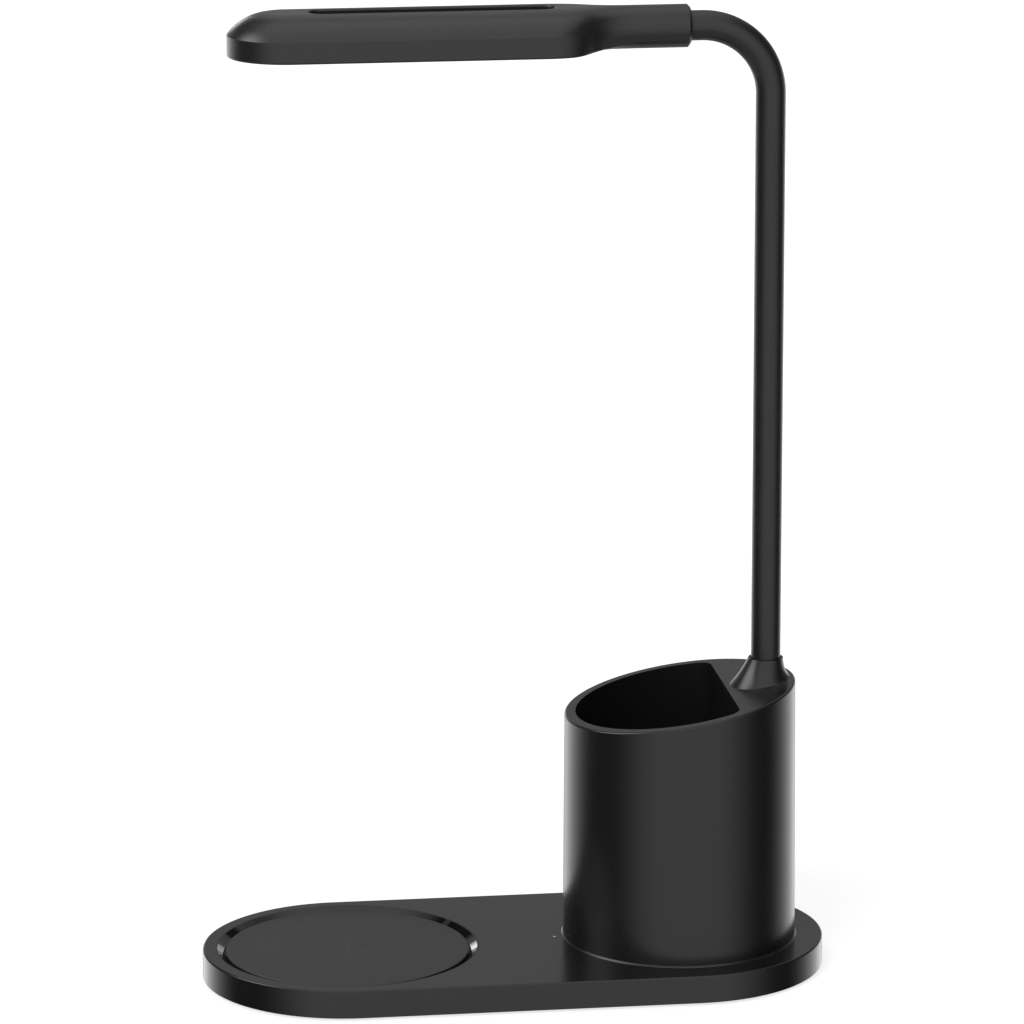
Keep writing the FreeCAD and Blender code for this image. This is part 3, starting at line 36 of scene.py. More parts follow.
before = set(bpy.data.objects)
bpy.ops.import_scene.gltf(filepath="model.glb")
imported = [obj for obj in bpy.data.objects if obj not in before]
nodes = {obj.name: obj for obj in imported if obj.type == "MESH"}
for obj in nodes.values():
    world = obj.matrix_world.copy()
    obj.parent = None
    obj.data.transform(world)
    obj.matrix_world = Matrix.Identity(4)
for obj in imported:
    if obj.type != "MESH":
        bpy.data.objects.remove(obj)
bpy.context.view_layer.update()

# The camera comes first: its place and its right, forward and up directions
CAMERA_PLACE = (-0.271164, -2.053581, 0.687496)
CAMERA_RIGHT = (0.991354, -0.131200, -0.001808)
CAMERA_FORWARD = (0.127066, 0.963373, -0.236151)
CAMERA_UP = (0.032724, 0.233880, 0.971715)
CAMERA_LENS = 194.54
VIEW_BACK = (0.1308, 0.9914)  # away from the camera, over the desk
SOFT_BOX = (-0.78, -0.05, 0.62)  # the soft box's direction: aside, to the back, up

# Places in the part, and along the arm's line from the collar's top
PAD_X = -0.0656
ARM_X = 0.0994
COLLAR_TOP = 0.122607
ARM_HEIGHT = 0.3715
ARM_REACH = 0.0315  # from the arm's upright axis to the neck's mouth
BEND_RADIUS = 0.0267
STRAIGHT = ARM_HEIGHT - BEND_RADIUS - COLLAR_TOP
BEND_LENGTH = BEND_RADIUS * math.pi / 2
NECK_MOUTH = STRAIGHT + BEND_LENGTH + ARM_REACH - BEND_RADIUS
ZONE = STRAIGHT / 4
JOINT_ALONG = [ZONE * (i + 0.5) for i in range(4)] + [STRAIGHT + BEND_LENGTH / 2]

# Sleeve, wound core and lead inside the arm
SLEEVE_RADIUS = 0.00575
SLEEVE_BORE = 0.0043
SLEEVE_LOW = 0.11785
SLEEVE_IN_NECK = 0.003
SLEEVE_SIDES = 64
CORE_RADIUS = 0.0042
CORE_BORE = 0.0021
CORE_LOW = 0.1044
CORE_IN_NECK = 0.017
CORE_SIDES = 28
WINDING_PITCH = 0.0022
WINDING_DEPTH = 0.00035
RINGS_PER_WINDING = 5
LEAD_RADIUS = 0.0014
LEAD_BORE = 0.0005
LEAD_SIDES = 20
LEAD_LEVEL = 0.0077  # the lead's axis in the base

# The pad's plus mark, and the LED packages in the head
MARK_HALF_WIDTH = 0.0008
MARK_REACH = 0.0125
HEAD_X = -0.0368
LED_PITCH = 0.008
LED_ROW = 0.007
LED_SEAT = 0.36905
LED_PACKAGE = (0.0035, 0.0028, 0.0006)
GEL_RADIUS = 0.0011


class Value:
    """A number inside a node tree. Arithmetic on it adds Math nodes."""

    def __init__(self, tree, socket):
        self.tree, self.socket = tree, socket

    def maths(self, operation, *others):
        return self.tree.value("ShaderNodeMath", {"operation": operation}, [self, *others])

    def __add__(self, other):
        return self.maths("ADD", other)

    def __sub__(self, other):
        return self.maths("SUBTRACT", other)

    def __rsub__(self, other):
        return self.maths("MULTIPLY_ADD", -1.0, other)

    def __mul__(self, other):
        return self.maths("MULTIPLY", other)

    def __truediv__(self, other):
        return self.maths("DIVIDE", other)

    def __rtruediv__(self, other):
        return self.tree.value("ShaderNodeMath", {"operation": "DIVIDE"}, [other, self])

    def __abs__(self):
        return self.maths("ABSOLUTE")

    def __lt__(self, other):
        return self.maths("LESS_THAN", other)

    def __gt__(self, other):
        return self.maths("GREATER_THAN", other)

    __radd__ = __add__
    __rmul__ = __mul__

    def lowest(self, other):
        return self.maths("MINIMUM", other)

    def highest(self, other):
        return self.maths("MAXIMUM", other)

    def clamped(self, low=0.0, high=1.0):
        return self.highest(low).lowest(high)

    def step(self, low, high):
        """0 below low, 1 above high and smooth in between."""
        return self.tree.value(
            "ShaderNodeMapRange",
            {"interpolation_type": "SMOOTHSTEP"},
            {"Value": self, "From Min": low, "From Max": high},
        )


class Tree:
    """A node tree, with one method that adds a node from its settings and its inputs."""

    def __init__(self, node_tree):
        self.node_tree = node_tree
        self.nodes, self.links = node_tree.nodes, node_tree.links

    def add(self, kind, settings=None, inputs=()):
        node = self.nodes.new(kind)
        for name, setting in (settings or {}).items():
            setattr(node, name, setting)
        pairs = inputs.items() if isinstance(inputs, dict) else enumerate(inputs)
        for key, given in pairs:
            socket = node.inputs[key]
            if isinstance(given, Value):
                given = given.socket
            if isinstance(given, bpy.types.NodeSocket):
                self.links.new(given, socket)
            else:
                socket.default_value = given
        return node

    def value(self, kind, settings=None, inputs=(), output=0):
        return Value(self, self.add(kind, settings, inputs).outputs[output])

    def split(self, vector):
        """The three components of a vector, as values."""
        parts = self.add("ShaderNodeSeparateXYZ", inputs=[vector]).outputs
        return [Value(self, socket) for socket in parts]

    def given(self):
        """The group's own inputs, by name."""
        outputs = self.add("NodeGroupInput").outputs
        return {socket.name: Value(self, socket) for socket in outputs if socket.name}

    def joined(self, x, y, z):
        return self.add("ShaderNodeCombineXYZ", inputs=[x, y, z]).outputs[0]

    def blended(self, share, first, second):
        """A colour between two colours."""
        node = self.add("ShaderNodeMix", {"data_type": "RGBA"}, {"Factor": share})
        for name, colour in (("A", first), ("B", second)):
            socket = next(i for i in node.inputs if i.name == name and i.type == "RGBA")
            if isinstance(colour, bpy.types.NodeSocket):
                self.links.new(colour, socket)
            else:
                socket.default_value = colour
        return next(o for o in node.outputs if o.type == "RGBA")


def paint(red, green, blue):
    return (red, green, blue, 1.0)


def grey(level):
    return (level, level, level, 1.0)


class Finish(Tree):
    """A material with one Principled shader. Its patterns read the piece's own coordinates."""

    def __init__(self, name):
        self.material = bpy.data.materials.new(name)
        self.material.use_nodes = True
        super().__init__(self.material.node_tree)
        self.shader = self.nodes["Principled BSDF"]
        self.where = self.add("ShaderNodeTexCoord").outputs["Object"]

    def noise(self, scale, detail=2.0, roughness=0.5, where=None):
        inputs = {"Vector": where or self.where, "Scale": scale, "Detail": detail, "Roughness": roughness}
        return self.value("ShaderNodeTexNoise", {}, inputs)

    def cells(self, scale, where=None, output="Distance", feature="F1"):
        inputs = {"Vector": where or self.where, "Scale": scale}
        node = self.add("ShaderNodeTexVoronoi", {"feature": feature}, inputs)
        return Value(self, node.outputs[output])

    def colour(self, socket):
        self.feed("Base Color", socket)

    def roughness(self, value):
        self.feed("Roughness", value)

    def feed(self, name, given):
        if isinstance(given, Value):
            given = given.socket
        if isinstance(given, bpy.types.NodeSocket):
            self.links.new(given, self.shader.inputs[name])
        else:
            self.shader.inputs[name].default_value = given

    def relief(self, height, depth):
        """Raises the surface by a 0 to 1 height times a depth in metres."""
        bump = self.add("ShaderNodeBump", inputs={"Strength": 1.0, "Distance": depth, "Height": height})
        self.links.new(bump.outputs["Normal"], self.shader.inputs["Normal"])

    def ring_distance(self, x, y=0.0):
        """Distance from an upright axis."""
        px, py, _ = self.split(self.where)
        dx, dy = px - x, py - y
        return (dx * dx + dy * dy).maths("SQRT")


# Finishes
def moulded_black(name, level, rough, grain=0.5, gloss=0.5):
    """Black moulded plastic: spark-eroded grain, faint flow marks and handling sheen."""
    finish = Finish(name)
    fine = finish.noise(2600.0, 3.0, 0.6)
    pits = finish.cells(3400.0)
    cloud = finish.noise(26.0, 3.0, 0.55)
    flow = finish.noise(7.0, 2.0)
    shade = (cloud - 0.5) * 0.22 + (fine - 0.5) * 0.16 + 1.0
    tone = (shade * level).clamped()
    finish.colour(finish.joined(tone, tone, tone * 1.02))
    finish.roughness((cloud - 0.5) * 0.07 + (fine - 0.5) * 0.10 + (flow - 0.5) * 0.04 + rough)
    finish.relief(fine * 0.6 + pits * 0.4, 0.000012 * grain)
    finish.feed("Specular IOR Level", gloss)
    return finish.material


def pad_face():
    """Soft-touch charging pad: fine matt texture, a faint plus mark and light scuffs."""
    finish = Finish("pad_face")
    x, y, _ = finish.split(finish.where)
    dx, dy = abs(x - PAD_X), abs(y)
    upright = (dx < MARK_HALF_WIDTH) * (dy < MARK_REACH)
    level = (dy < MARK_HALF_WIDTH) * (dx < MARK_REACH)
    mark = upright.highest(level)
    fine = finish.noise(3200.0, 2.0, 0.6)
    cloud = finish.noise(34.0, 3.0)
    tone = (fine - 0.5) * 0.004 + (cloud - 0.5) * 0.003 + mark * 0.006 + 0.011
    finish.colour(finish.joined(tone, tone, tone))
    finish.roughness((cloud - 0.5) * 0.08 + (fine - 0.5) * 0.10 + 0.46)
    finish.relief(fine, 0.00001)
    finish.feed("Specular IOR Level", 0.56)
    return finish.material


def gloss_ring():
    """Piano-black trim ring: near-mirror face with faint dust and wipe marks."""
    finish = Finish("gloss_ring")
    turns = finish.ring_distance(PAD_X)
    wipes = finish.value("ShaderNodeTexWave", {"wave_type": "RINGS", "rings_direction": "Z"}, {
        "Vector": finish.where, "Scale": 60.0, "Distortion": 6.0, "Detail": 2.0,
    }, output=1)
    dust = finish.noise(900.0, 4.0, 0.7).step(0.66, 0.78)
    tone = dust * 0.006 + 0.003
    finish.colour(finish.joined(tone, tone, tone))
    finish.roughness(wipes * 0.02 + dust * 0.10 + (turns * 900.0).maths("SINE") * 0.005 + 0.02)
    finish.relief(finish.noise(240.0, 1.0), 0.000003)
    return finish.material


def sleeve_rubber():
    """Silicone arm sleeve: silky matt skin with lint-like streaks along the arm."""
    finish = Finish("sleeve_rubber")
    own = finish.add("ShaderNodeUVMap", {"uv_map": "UVMap"}).outputs[0]
    round_, along, _ = finish.split(own)
    stretched = finish.joined(round_ * 900.0, along * 120.0, 0.0)
    streak = finish.noise(1.0, 3.0, 0.6, stretched)
    skin = finish.noise(2200.0, 2.0, 0.55, own)
    cloud = finish.noise(40.0, 2.0, 0.5, own)
    tone = (skin - 0.5) * 0.003 + (cloud - 0.5) * 0.003 + (streak - 0.5) * 0.003 + 0.011
    finish.colour(finish.joined(tone, tone, tone))
    finish.roughness((cloud - 0.5) * 0.08 + (streak - 0.5) * 0.08 + 0.30)
    finish.relief(skin * 0.7 + streak * 0.3, 0.000008)
    finish.feed("Specular IOR Level", 0.48)
    return finish.material


def dark_panel():
    """Smoked gloss panel in the head's slot, with a faint brushed film under it."""
    finish = Finish("dark_panel")
    x, y, _ = finish.split(finish.where)
    film = finish.noise(1.0, 2.0, 0.5, finish.joined(x * 60.0, y * 2400.0, 0.0))
    smear = finish.noise(70.0, 3.0)
    tone = (film - 0.5) * 0.004 + 0.008
    finish.colour(finish.joined(tone, tone, tone))
    finish.roughness((smear - 0.5) * 0.08 + film * 0.03 + 0.16)
    finish.relief(film, 0.000002)
    return finish.material


def milky(name, tone, rough, prisms):
    """White translucent plastic. Tiny prisms cover a diffuser's face."""
    finish = Finish(name)
    cloud = finish.noise(60.0, 2.0)
    shade = (cloud - 0.5) * 0.03 + 1.0
    finish.colour(finish.joined(shade * tone, shade * tone, shade * tone * 0.985))
    finish.roughness((cloud - 0.5) * 0.06 + rough)
    finish.feed("Subsurface Weight", 0.25)
    finish.feed("Subsurface Radius", (0.004, 0.004, 0.004))
    finish.feed("Subsurface Scale", 1.0)
    if prisms:
        x, y, _ = finish.split(finish.where)
        bumps = (x * 4200.0).maths("SINE") * (y * 4200.0).maths("SINE")
        finish.relief(bumps * 0.5 + 0.5, 0.00004)
    else:
        finish.relief(finish.noise(1800.0, 2.0), 0.00001)
    return finish.material


def clear_light():
    """Frosted light-pipe tip."""
    finish = Finish("clear_light")
    frost = finish.noise(3000.0, 2.0)
    tone = frost * 0.1 + 0.42
    finish.colour(finish.joined(tone, tone, tone))
    finish.roughness(frost * 0.2 + 0.25)
    finish.feed("Transmission Weight", 0.15)
    finish.relief(frost, 0.00001)
    return finish.material


def foot_rubber():
    """Dark rubber foot: fine tooth, dust in the pores."""
    finish = Finish("foot_rubber")
    pores = finish.cells(1500.0)
    dust = finish.noise(300.0, 4.0, 0.7).step(0.55, 0.8)
    tone = dust * 0.02 + pores * 0.01 + 0.016
    finish.colour(finish.joined(tone, tone, tone))
    finish.roughness(dust * 0.1 + 0.74)
    finish.relief(pores, 0.00005)
    return finish.material


def metal(name, colour, rough, brushed=0.0, tarnish=0.1, pitch=2600.0):
    """Metal with turning or brushing marks and a little tarnish."""
    finish = Finish(name)
    x, y, z = finish.split(finish.where)
    marks = finish.noise(1.0, 3.0, 0.6, finish.joined(x * pitch * 0.1, y * pitch * 0.1, z * pitch))
    spots = finish.noise(420.0, 4.0, 0.65)
    stain = spots.step(0.5, 0.8)
    dull = paint(*(c * (1.0 - tarnish * 2.5) for c in colour))
    finish.colour(finish.blended(stain * tarnish * 4.0, paint(*colour), dull))
    finish.feed("Metallic", 1.0)
    finish.roughness(stain * 0.16 + (marks - 0.5) * 0.2 * brushed + rough)
    finish.relief(marks, 0.000006 * brushed + 0.000001)
    return finish.material


def copper_wire():
    """Enamelled winding wire: warm copper with a lacquer coat."""
    finish = Finish("copper_wire")
    radius = finish.ring_distance(PAD_X)
    strands = ((radius * 9000.0).maths("SINE") * 0.5 + 0.5) * 0.5
    patch = finish.noise(500.0, 3.0)
    finish.colour(finish.blended(patch.step(0.3, 0.75), paint(0.62, 0.23, 0.10), paint(0.42, 0.13, 0.05)))
    finish.feed("Metallic", 1.0)
    finish.roughness(patch * 0.12 + 0.24)
    finish.feed("Coat Weight", 0.4)
    finish.relief(strands, 0.00001)
    return finish.material


def board_green():
    """Circuit board: solder mask over copper traces, bare pads and weave in the edge."""
    finish = Finish("board_green")
    x, y, z = finish.split(finish.where)
    lanes = ((x * 2400.0).maths("SINE") > 0.72) * (finish.cells(190.0, output="Distance") > 0.32)
    ways = ((y * 1900.0).maths("SINE") > 0.80) * (finish.cells(150.0, output="Distance") < 0.42)
    traces = lanes.highest(ways)
    holes = finish.cells(240.0) < 0.10
    mask = finish.blended(traces, paint(0.006, 0.075, 0.028), paint(0.012, 0.14, 0.05))
    finish.colour(finish.blended(holes, mask, paint(0.72, 0.66, 0.52)))
    finish.feed("Metallic", holes)
    finish.roughness(finish.noise(300.0, 2.0) * 0.12 + 0.26)
    weave = (x * 3100.0).maths("SINE") * (y * 3100.0).maths("SINE") * 0.1
    finish.relief(traces * 0.8 + weave, 0.00003)
    return finish.material


def chip_black():
    """Epoxy chip package with a matt moulded top."""
    finish = Finish("chip_black")
    speck = finish.noise(4200.0, 3.0, 0.7)
    tone = (speck - 0.5) * 0.012 + 0.022
    finish.colour(finish.joined(tone, tone, tone * 1.04))
    finish.roughness((speck - 0.5) * 0.2 + 0.55)
    finish.relief(speck, 0.00001)
    return finish.material


def ferrite():
    """Sintered ferrite sheet: dark grey with fine cracks under its film."""
    finish = Finish("ferrite")
    cracks = finish.cells(420.0, feature="DISTANCE_TO_EDGE").step(0.0, 0.04)
    speck = finish.noise(1600.0, 3.0)
    tone = cracks * 0.03 + (speck - 0.5) * 0.02 + 0.03
    finish.colour(finish.joined(tone, tone, tone * 1.08))
    finish.roughness(0.62 - cracks * 0.12)
    finish.relief(cracks, 0.00003)
    return finish.material


def phosphor():
    """Yellow phosphor gel in an LED package."""
    finish = Finish("phosphor_yellow")
    speck = finish.noise(5200.0, 3.0, 0.7)
    finish.colour(finish.blended(speck, paint(0.86, 0.62, 0.12), paint(0.92, 0.78, 0.26)))
    finish.roughness(speck * 0.2 + 0.3)
    finish.relief(speck, 0.00001)
    return finish.material


def lead_jacket(name, charted):
    """Thin white cable jacket, slightly yellowed and dusty."""
    finish = Finish(name)
    own = finish.add("ShaderNodeUVMap", {"uv_map": "UVMap"}).outputs[0] if charted else finish.where
    grime = finish.noise(90.0, 4.0, 0.6, own)
    finish.colour(finish.blended(grime.step(0.35, 0.8), paint(0.62, 0.61, 0.58), paint(0.44, 0.43, 0.40)))
    finish.roughness(grime * 0.15 + 0.42)
    finish.relief(finish.noise(1500.0, 2.0, 0.5, own), 0.00001)
    return finish.material


def wound_steel():
    """Wound steel hose: painted shade darkens the grooves and leaves the flanks bright, with oily patches at
    random.
    """
    finish = Finish("wound_steel")
    own = finish.add("ShaderNodeUVMap", {"uv_map": "UVMap"}).outputs[0]
    _, along, _ = finish.split(own)
    shaded_groove = ((along * (2.0 * math.pi / WINDING_PITCH)).maths("COSINE") * 0.5 + 0.5).step(0.55, 1.0)
    oil = finish.noise(260.0, 4.0, 0.6, own)
    # painted shade: the colour darkens in every groove of the winding, and random oily patches add to it
    finish.colour(finish.blended(shaded_groove * 0.8 + oil * 0.2, paint(0.56, 0.56, 0.55), paint(0.13, 0.12, 0.11)))
    finish.feed("Metallic", 1.0)
    finish.roughness(oil * 0.2 + shaded_groove * 0.2 + 0.22)
    finish.relief(oil, 0.00001)
    return finish.material


FINISHES = {
    "satin_shell": moulded_black("satin_shell", 0.0075, 0.19),
    "head_satin": moulded_black("head_satin", 0.0120, 0.28),
    "cup_satin": moulded_black("cup_satin", 0.0070, 0.25),
    "collar_satin": moulded_black("collar_satin", 0.0085, 0.25, 0.4),
    "pad_face": pad_face(),
    "gloss_ring": gloss_ring(),
    "clear_light": clear_light(),
    "sleeve_rubber": sleeve_rubber(),
    "dark_panel": dark_panel(),
    "diffuser_white": milky("diffuser_white", 0.86, 0.42, True),
    "reflector_white": milky("reflector_white", 0.82, 0.5, False),
    "led_body": milky("led_body_white", 0.8, 0.4, False),
    "foot_rubber": foot_rubber(),
    "lead_jacket": lead_jacket("lead_jacket", True),
    "stiff_lead_jacket": lead_jacket("stiff_lead_jacket", False),
    "plain_steel": metal("plain_steel", (0.60, 0.60, 0.59), 0.30, 0.6, 0.08),
    "wound_steel": wound_steel(),
    "turned_brass": metal("turned_brass", (0.78, 0.58, 0.27), 0.24, 0.8, 0.10),
    "copper_wire": copper_wire(),
    "ferrite": ferrite(),
    "board_green": board_green(),
    "chip_black": chip_black(),
    "phosphor": phosphor(),
    "led_plate": metal("led_plate", (0.80, 0.80, 0.78), 0.45, 0.4, 0.03),
}

NODE_FINISH = {
    "antislip_feet": "foot_rubber",
    "arm_collar": "collar_satin",
    "arm_ferrule": "turned_brass",
    "ballast_plate": "plain_steel",
    "base_bottom_cover": "satin_shell",
    "base_cover_screws": "plain_steel",
    "base_upper_shell": "satin_shell",
    "board_screws": "plain_steel",
    "charging_board_parts": "chip_black",
    "charging_circuit_board": "board_green",
    "charging_coil": "copper_wire",
    "charging_pad_disc": "pad_face",
    "coil_lead": "chip_black",
    "cup_screws": "plain_steel",
    "diffuser": "diffuser_white",
    "ferrite_sheet": "ferrite",
    "ferrule_nut": "turned_brass",
    "ferrule_washer": "plain_steel",
    "head_lower_shell": "head_satin",
    "head_screws": "plain_steel",
    "head_slot_panel": "dark_panel",
    "head_upper_shell": "head_satin",
    "indicator_emitter": "led_body",
    "indicator_light_pipe": "clear_light",
    "led_board": "led_plate",
    "led_chips": "phosphor",
    "main_board_parts": "chip_black",
    "main_circuit_board": "board_green",
    "neck_clamp": "turned_brass",
    "pad_trim_ring": "gloss_ring",
    "pen_cup_shell": "cup_satin",
    "power_socket_shell": "plain_steel",
    "power_socket_tongue": "chip_black",
    "reflector_frame": "reflector_white",
    "touch_switch_plate": "copper_wire",
}
for node_name, finish_name in NODE_FINISH.items():
    for material_slot in nodes[node_name].material_slots:
        material_slot.material = FINISHES[finish_name]


# Tubes along the arm's line: up from the collar, round the bend, then level to the head
def arm_tube_tree():
    """A closed tube between two lengths along the arm, with optional wound ribs outside."""
    group = bpy.data.node_groups.new("arm_tube", "GeometryNodeTree")
    for name, kind in (
        ("Start", "NodeSocketFloat"),
        ("End", "NodeSocketFloat"),
        ("Outer", "NodeSocketFloat"),
        ("Bore", "NodeSocketFloat"),
        ("Rings", "NodeSocketInt"),
        ("Sides", "NodeSocketInt"),
        ("Rib Pitch", "NodeSocketFloat"),
        ("Rib Depth", "NodeSocketFloat"),
        ("Foot X", "NodeSocketFloat"),
        ("Foot Z", "NodeSocketFloat"),
        ("Straight", "NodeSocketFloat"),
        ("Bend", "NodeSocketFloat"),
        ("Finish", "NodeSocketMaterial"),
    ):
        group.interface.new_socket(name, in_out="INPUT", socket_type=kind)
    group.interface.new_socket("Geometry", in_out="OUTPUT", socket_type="NodeSocketGeometry")
    tree = Tree(group)
    given = tree.given()
    rings, sides = given["Rings"], given["Sides"]
    grid = tree.add(
        "GeometryNodeMeshGrid",
        inputs={"Size X": 1.0, "Size Y": 1.0, "Vertices X": rings * 2 + 1, "Vertices Y": sides + 1},
    )
    px, py, _ = tree.split(tree.add("GeometryNodeInputPosition").outputs[0])
    ring = ((px + 0.5) * (rings * 2)).maths("ROUND")
    turn = py + 0.5
    rank = ring.lowest(rings * 2 - 1 - ring).clamped(0.0, rings - 1)
    outside = (ring < rings - 0.5).highest(ring > rings * 2 - 0.5)
    along = given["Start"] + (given["End"] - given["Start"]) * rank / (rings - 1)
    wave = ((along / given["Rib Pitch"] - turn) * (2 * math.pi)).maths("COSINE") * 0.5 + 0.5
    radius = given["Bore"] + outside * (given["Outer"] - given["Rib Depth"] * wave - given["Bore"])
    bend, straight = given["Bend"], given["Straight"]
    angle = ((along - straight) / bend).clamped(0.0, math.pi / 2)
    level = (along - straight - bend * (math.pi / 2)).highest(0.0)
    cosine, sine = angle.maths("COSINE"), angle.maths("SINE")
    out = (turn * (2 * math.pi)).maths("COSINE") * radius
    aside = (turn * (2 * math.pi)).maths("SINE") * radius
    place = tree.joined(
        given["Foot X"] - bend + bend * cosine - level + out * cosine,
        aside,
        given["Foot Z"] + along.lowest(straight) + bend * sine + out * sine,
    )
    chart = tree.joined(turn * given["Outer"] * (2 * math.pi), along, 0.0)
    kept = tree.add(
        "GeometryNodeStoreNamedAttribute",
        {"data_type": "FLOAT2", "domain": "CORNER"},
        {"Geometry": grid.outputs["Mesh"], "Name": "UVMap", "Value": chart},
    )
    shaped = tree.add("GeometryNodeSetPosition", inputs={"Geometry": kept.outputs[0], "Position": place})
    closed = tree.add("GeometryNodeMergeByDistance", inputs={"Geometry": shaped.outputs[0], "Distance": 1e-6})
    real = tree.add("GeometryNodeRealizeInstances", inputs={"Geometry": closed.outputs[0]})
    finish = given["Finish"]
    dressed = tree.add("GeometryNodeSetMaterial", inputs={"Geometry": real.outputs[0], "Material": finish})
    tree.add("NodeGroupOutput", inputs={"Geometry": dressed.outputs[0]})
    return group


def baked(name, group, sharp=40.0, **sizes):
    """Runs a node group with its inputs set, and keeps the result as a plain mesh object."""
    maker = bpy.data.objects.new(f"{name}_maker", bpy.data.meshes.new(f"{name}_maker"))
    bpy.context.scene.collection.objects.link(maker)
    modifier = maker.modifiers.new("shape", "NODES")
    modifier.node_group = group
    wanted = {key.replace("_", " ").lower(): number for key, number in sizes.items()}
    for item in group.interface.items_tree:
        if item.item_type == "SOCKET" and item.in_out == "INPUT":
            modifier[item.identifier] = wanted.pop(item.name.lower())
    if wanted:
        raise ValueError(f"{group.name} has no input {sorted(wanted)}")
    evaluated = maker.evaluated_get(bpy.context.evaluated_depsgraph_get())
    mesh = bpy.data.meshes.new_from_object(evaluated)
    bpy.data.objects.remove(maker)
    mesh.name = name
    return placed(name, mesh, sharp)


def placed(name, mesh, sharp=40.0):
    """A new object for a finished mesh, smooth but for its sharp edges."""
    turn_outwards(mesh)
    mesh.shade_smooth()
    mesh.set_sharp_from_angle(angle=math.radians(sharp))
    piece = bpy.data.objects.new(name, mesh)
    bpy.context.scene.collection.objects.link(piece)
    return piece


def turn_outwards(mesh):
    shape = bmesh.new()
    shape.from_mesh(mesh)
    bmesh.ops.recalc_face_normals(shape, faces=shape.faces)
    shape.to_mesh(mesh)
    shape.free()


def arm_point(along):
    """A point on the arm's line, and the line's direction there."""
    angle = min(max((along - STRAIGHT) / BEND_RADIUS, 0.0), math.pi / 2)
    level = max(along - STRAIGHT - BEND_LENGTH, 0.0)
    x = ARM_X - BEND_RADIUS + BEND_RADIUS * math.cos(angle) - level
    z = COLLAR_TOP + min(along, STRAIGHT) + BEND_RADIUS * math.sin(angle)
    return Vector((x, 0.0, z)), Vector((-math.sin(angle), 0.0, math.cos(angle)))


# The arm is cut half-way between its joints, so that each length holds one joint
CUTS = [SLEEVE_LOW - COLLAR_TOP] + [ZONE * i for i in range(1, 4)]
CUTS += [(STRAIGHT + JOINT_ALONG[4]) / 2 - 0.0125, NECK_MOUTH + SLEEVE_IN_NECK]
LENGTHS = ["a", "b", "c", "d", "e"]
SLEEVE_NODES = [f"arm_sleeve_{n}" for n in ("foot", "1", "2", "3", "4", "head")]
CORE_NODES = [f"arm_core_{n}" for n in ("foot", "1", "2", "3", "4", "head")]
arm_tube = arm_tube_tree()


def bent_length(name, index, start, end, finish, **sizes):
    """One length of sleeve, core or lead around a joint."""
    piece = baked(
        name,
        arm_tube,
        start=start,
        end=end,
        foot_x=ARM_X,
        foot_z=COLLAR_TOP,
        straight=STRAIGHT,
        bend=BEND_RADIUS,
        finish=FINISHES[finish],
        **sizes,
    )
    joint, way = arm_point(JOINT_ALONG[index])
    low, high = arm_point(CUTS[index])[0], arm_point(CUTS[index + 1])[0]
    reach = min((joint - low).dot(way), (high - joint).dot(way))
    joint - way * reach
    joint + way * reach
    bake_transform(piece)
    return piece


for i, letter in enumerate(LENGTHS):
    start, end = CUTS[i], CUTS[i + 1]
    core_start = CORE_LOW - COLLAR_TOP if i == 0 else start
    core_end = NECK_MOUTH + CORE_IN_NECK if i == 4 else end
    rings = 26 if i < 4 else 54
    sleeve = bent_length(
        f"sleeve_{letter}",
        i,
        start,
        end,
        "sleeve_rubber",
        outer=SLEEVE_RADIUS,
        bore=SLEEVE_BORE,
        rings=rings,
        sides=SLEEVE_SIDES,
        rib_pitch=1.0,
        rib_depth=0.0,
    )
    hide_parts(*SLEEVE_NODES[i : i + 2])
    core = bent_length(
        f"core_{letter}",
        i,
        core_start,
        core_end,
        "wound_steel",
        outer=CORE_RADIUS,
        bore=CORE_BORE,
        rings=int((core_end - core_start) * RINGS_PER_WINDING / WINDING_PITCH),
        sides=CORE_SIDES,
        rib_pitch=WINDING_PITCH,
        rib_depth=WINDING_DEPTH,
    )
    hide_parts(*CORE_NODES[i : i + 2])
    lead = bent_length(
        f"lead_{letter}",
        i,
        core_start,
        core_end,
        "lead_jacket",
        outer=LEAD_RADIUS,
        bore=LEAD_BORE,
        rings=rings,
        sides=LEAD_SIDES,
        rib_pitch=1.0,
        rib_depth=0.0,
    )
    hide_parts("lamp_lead")


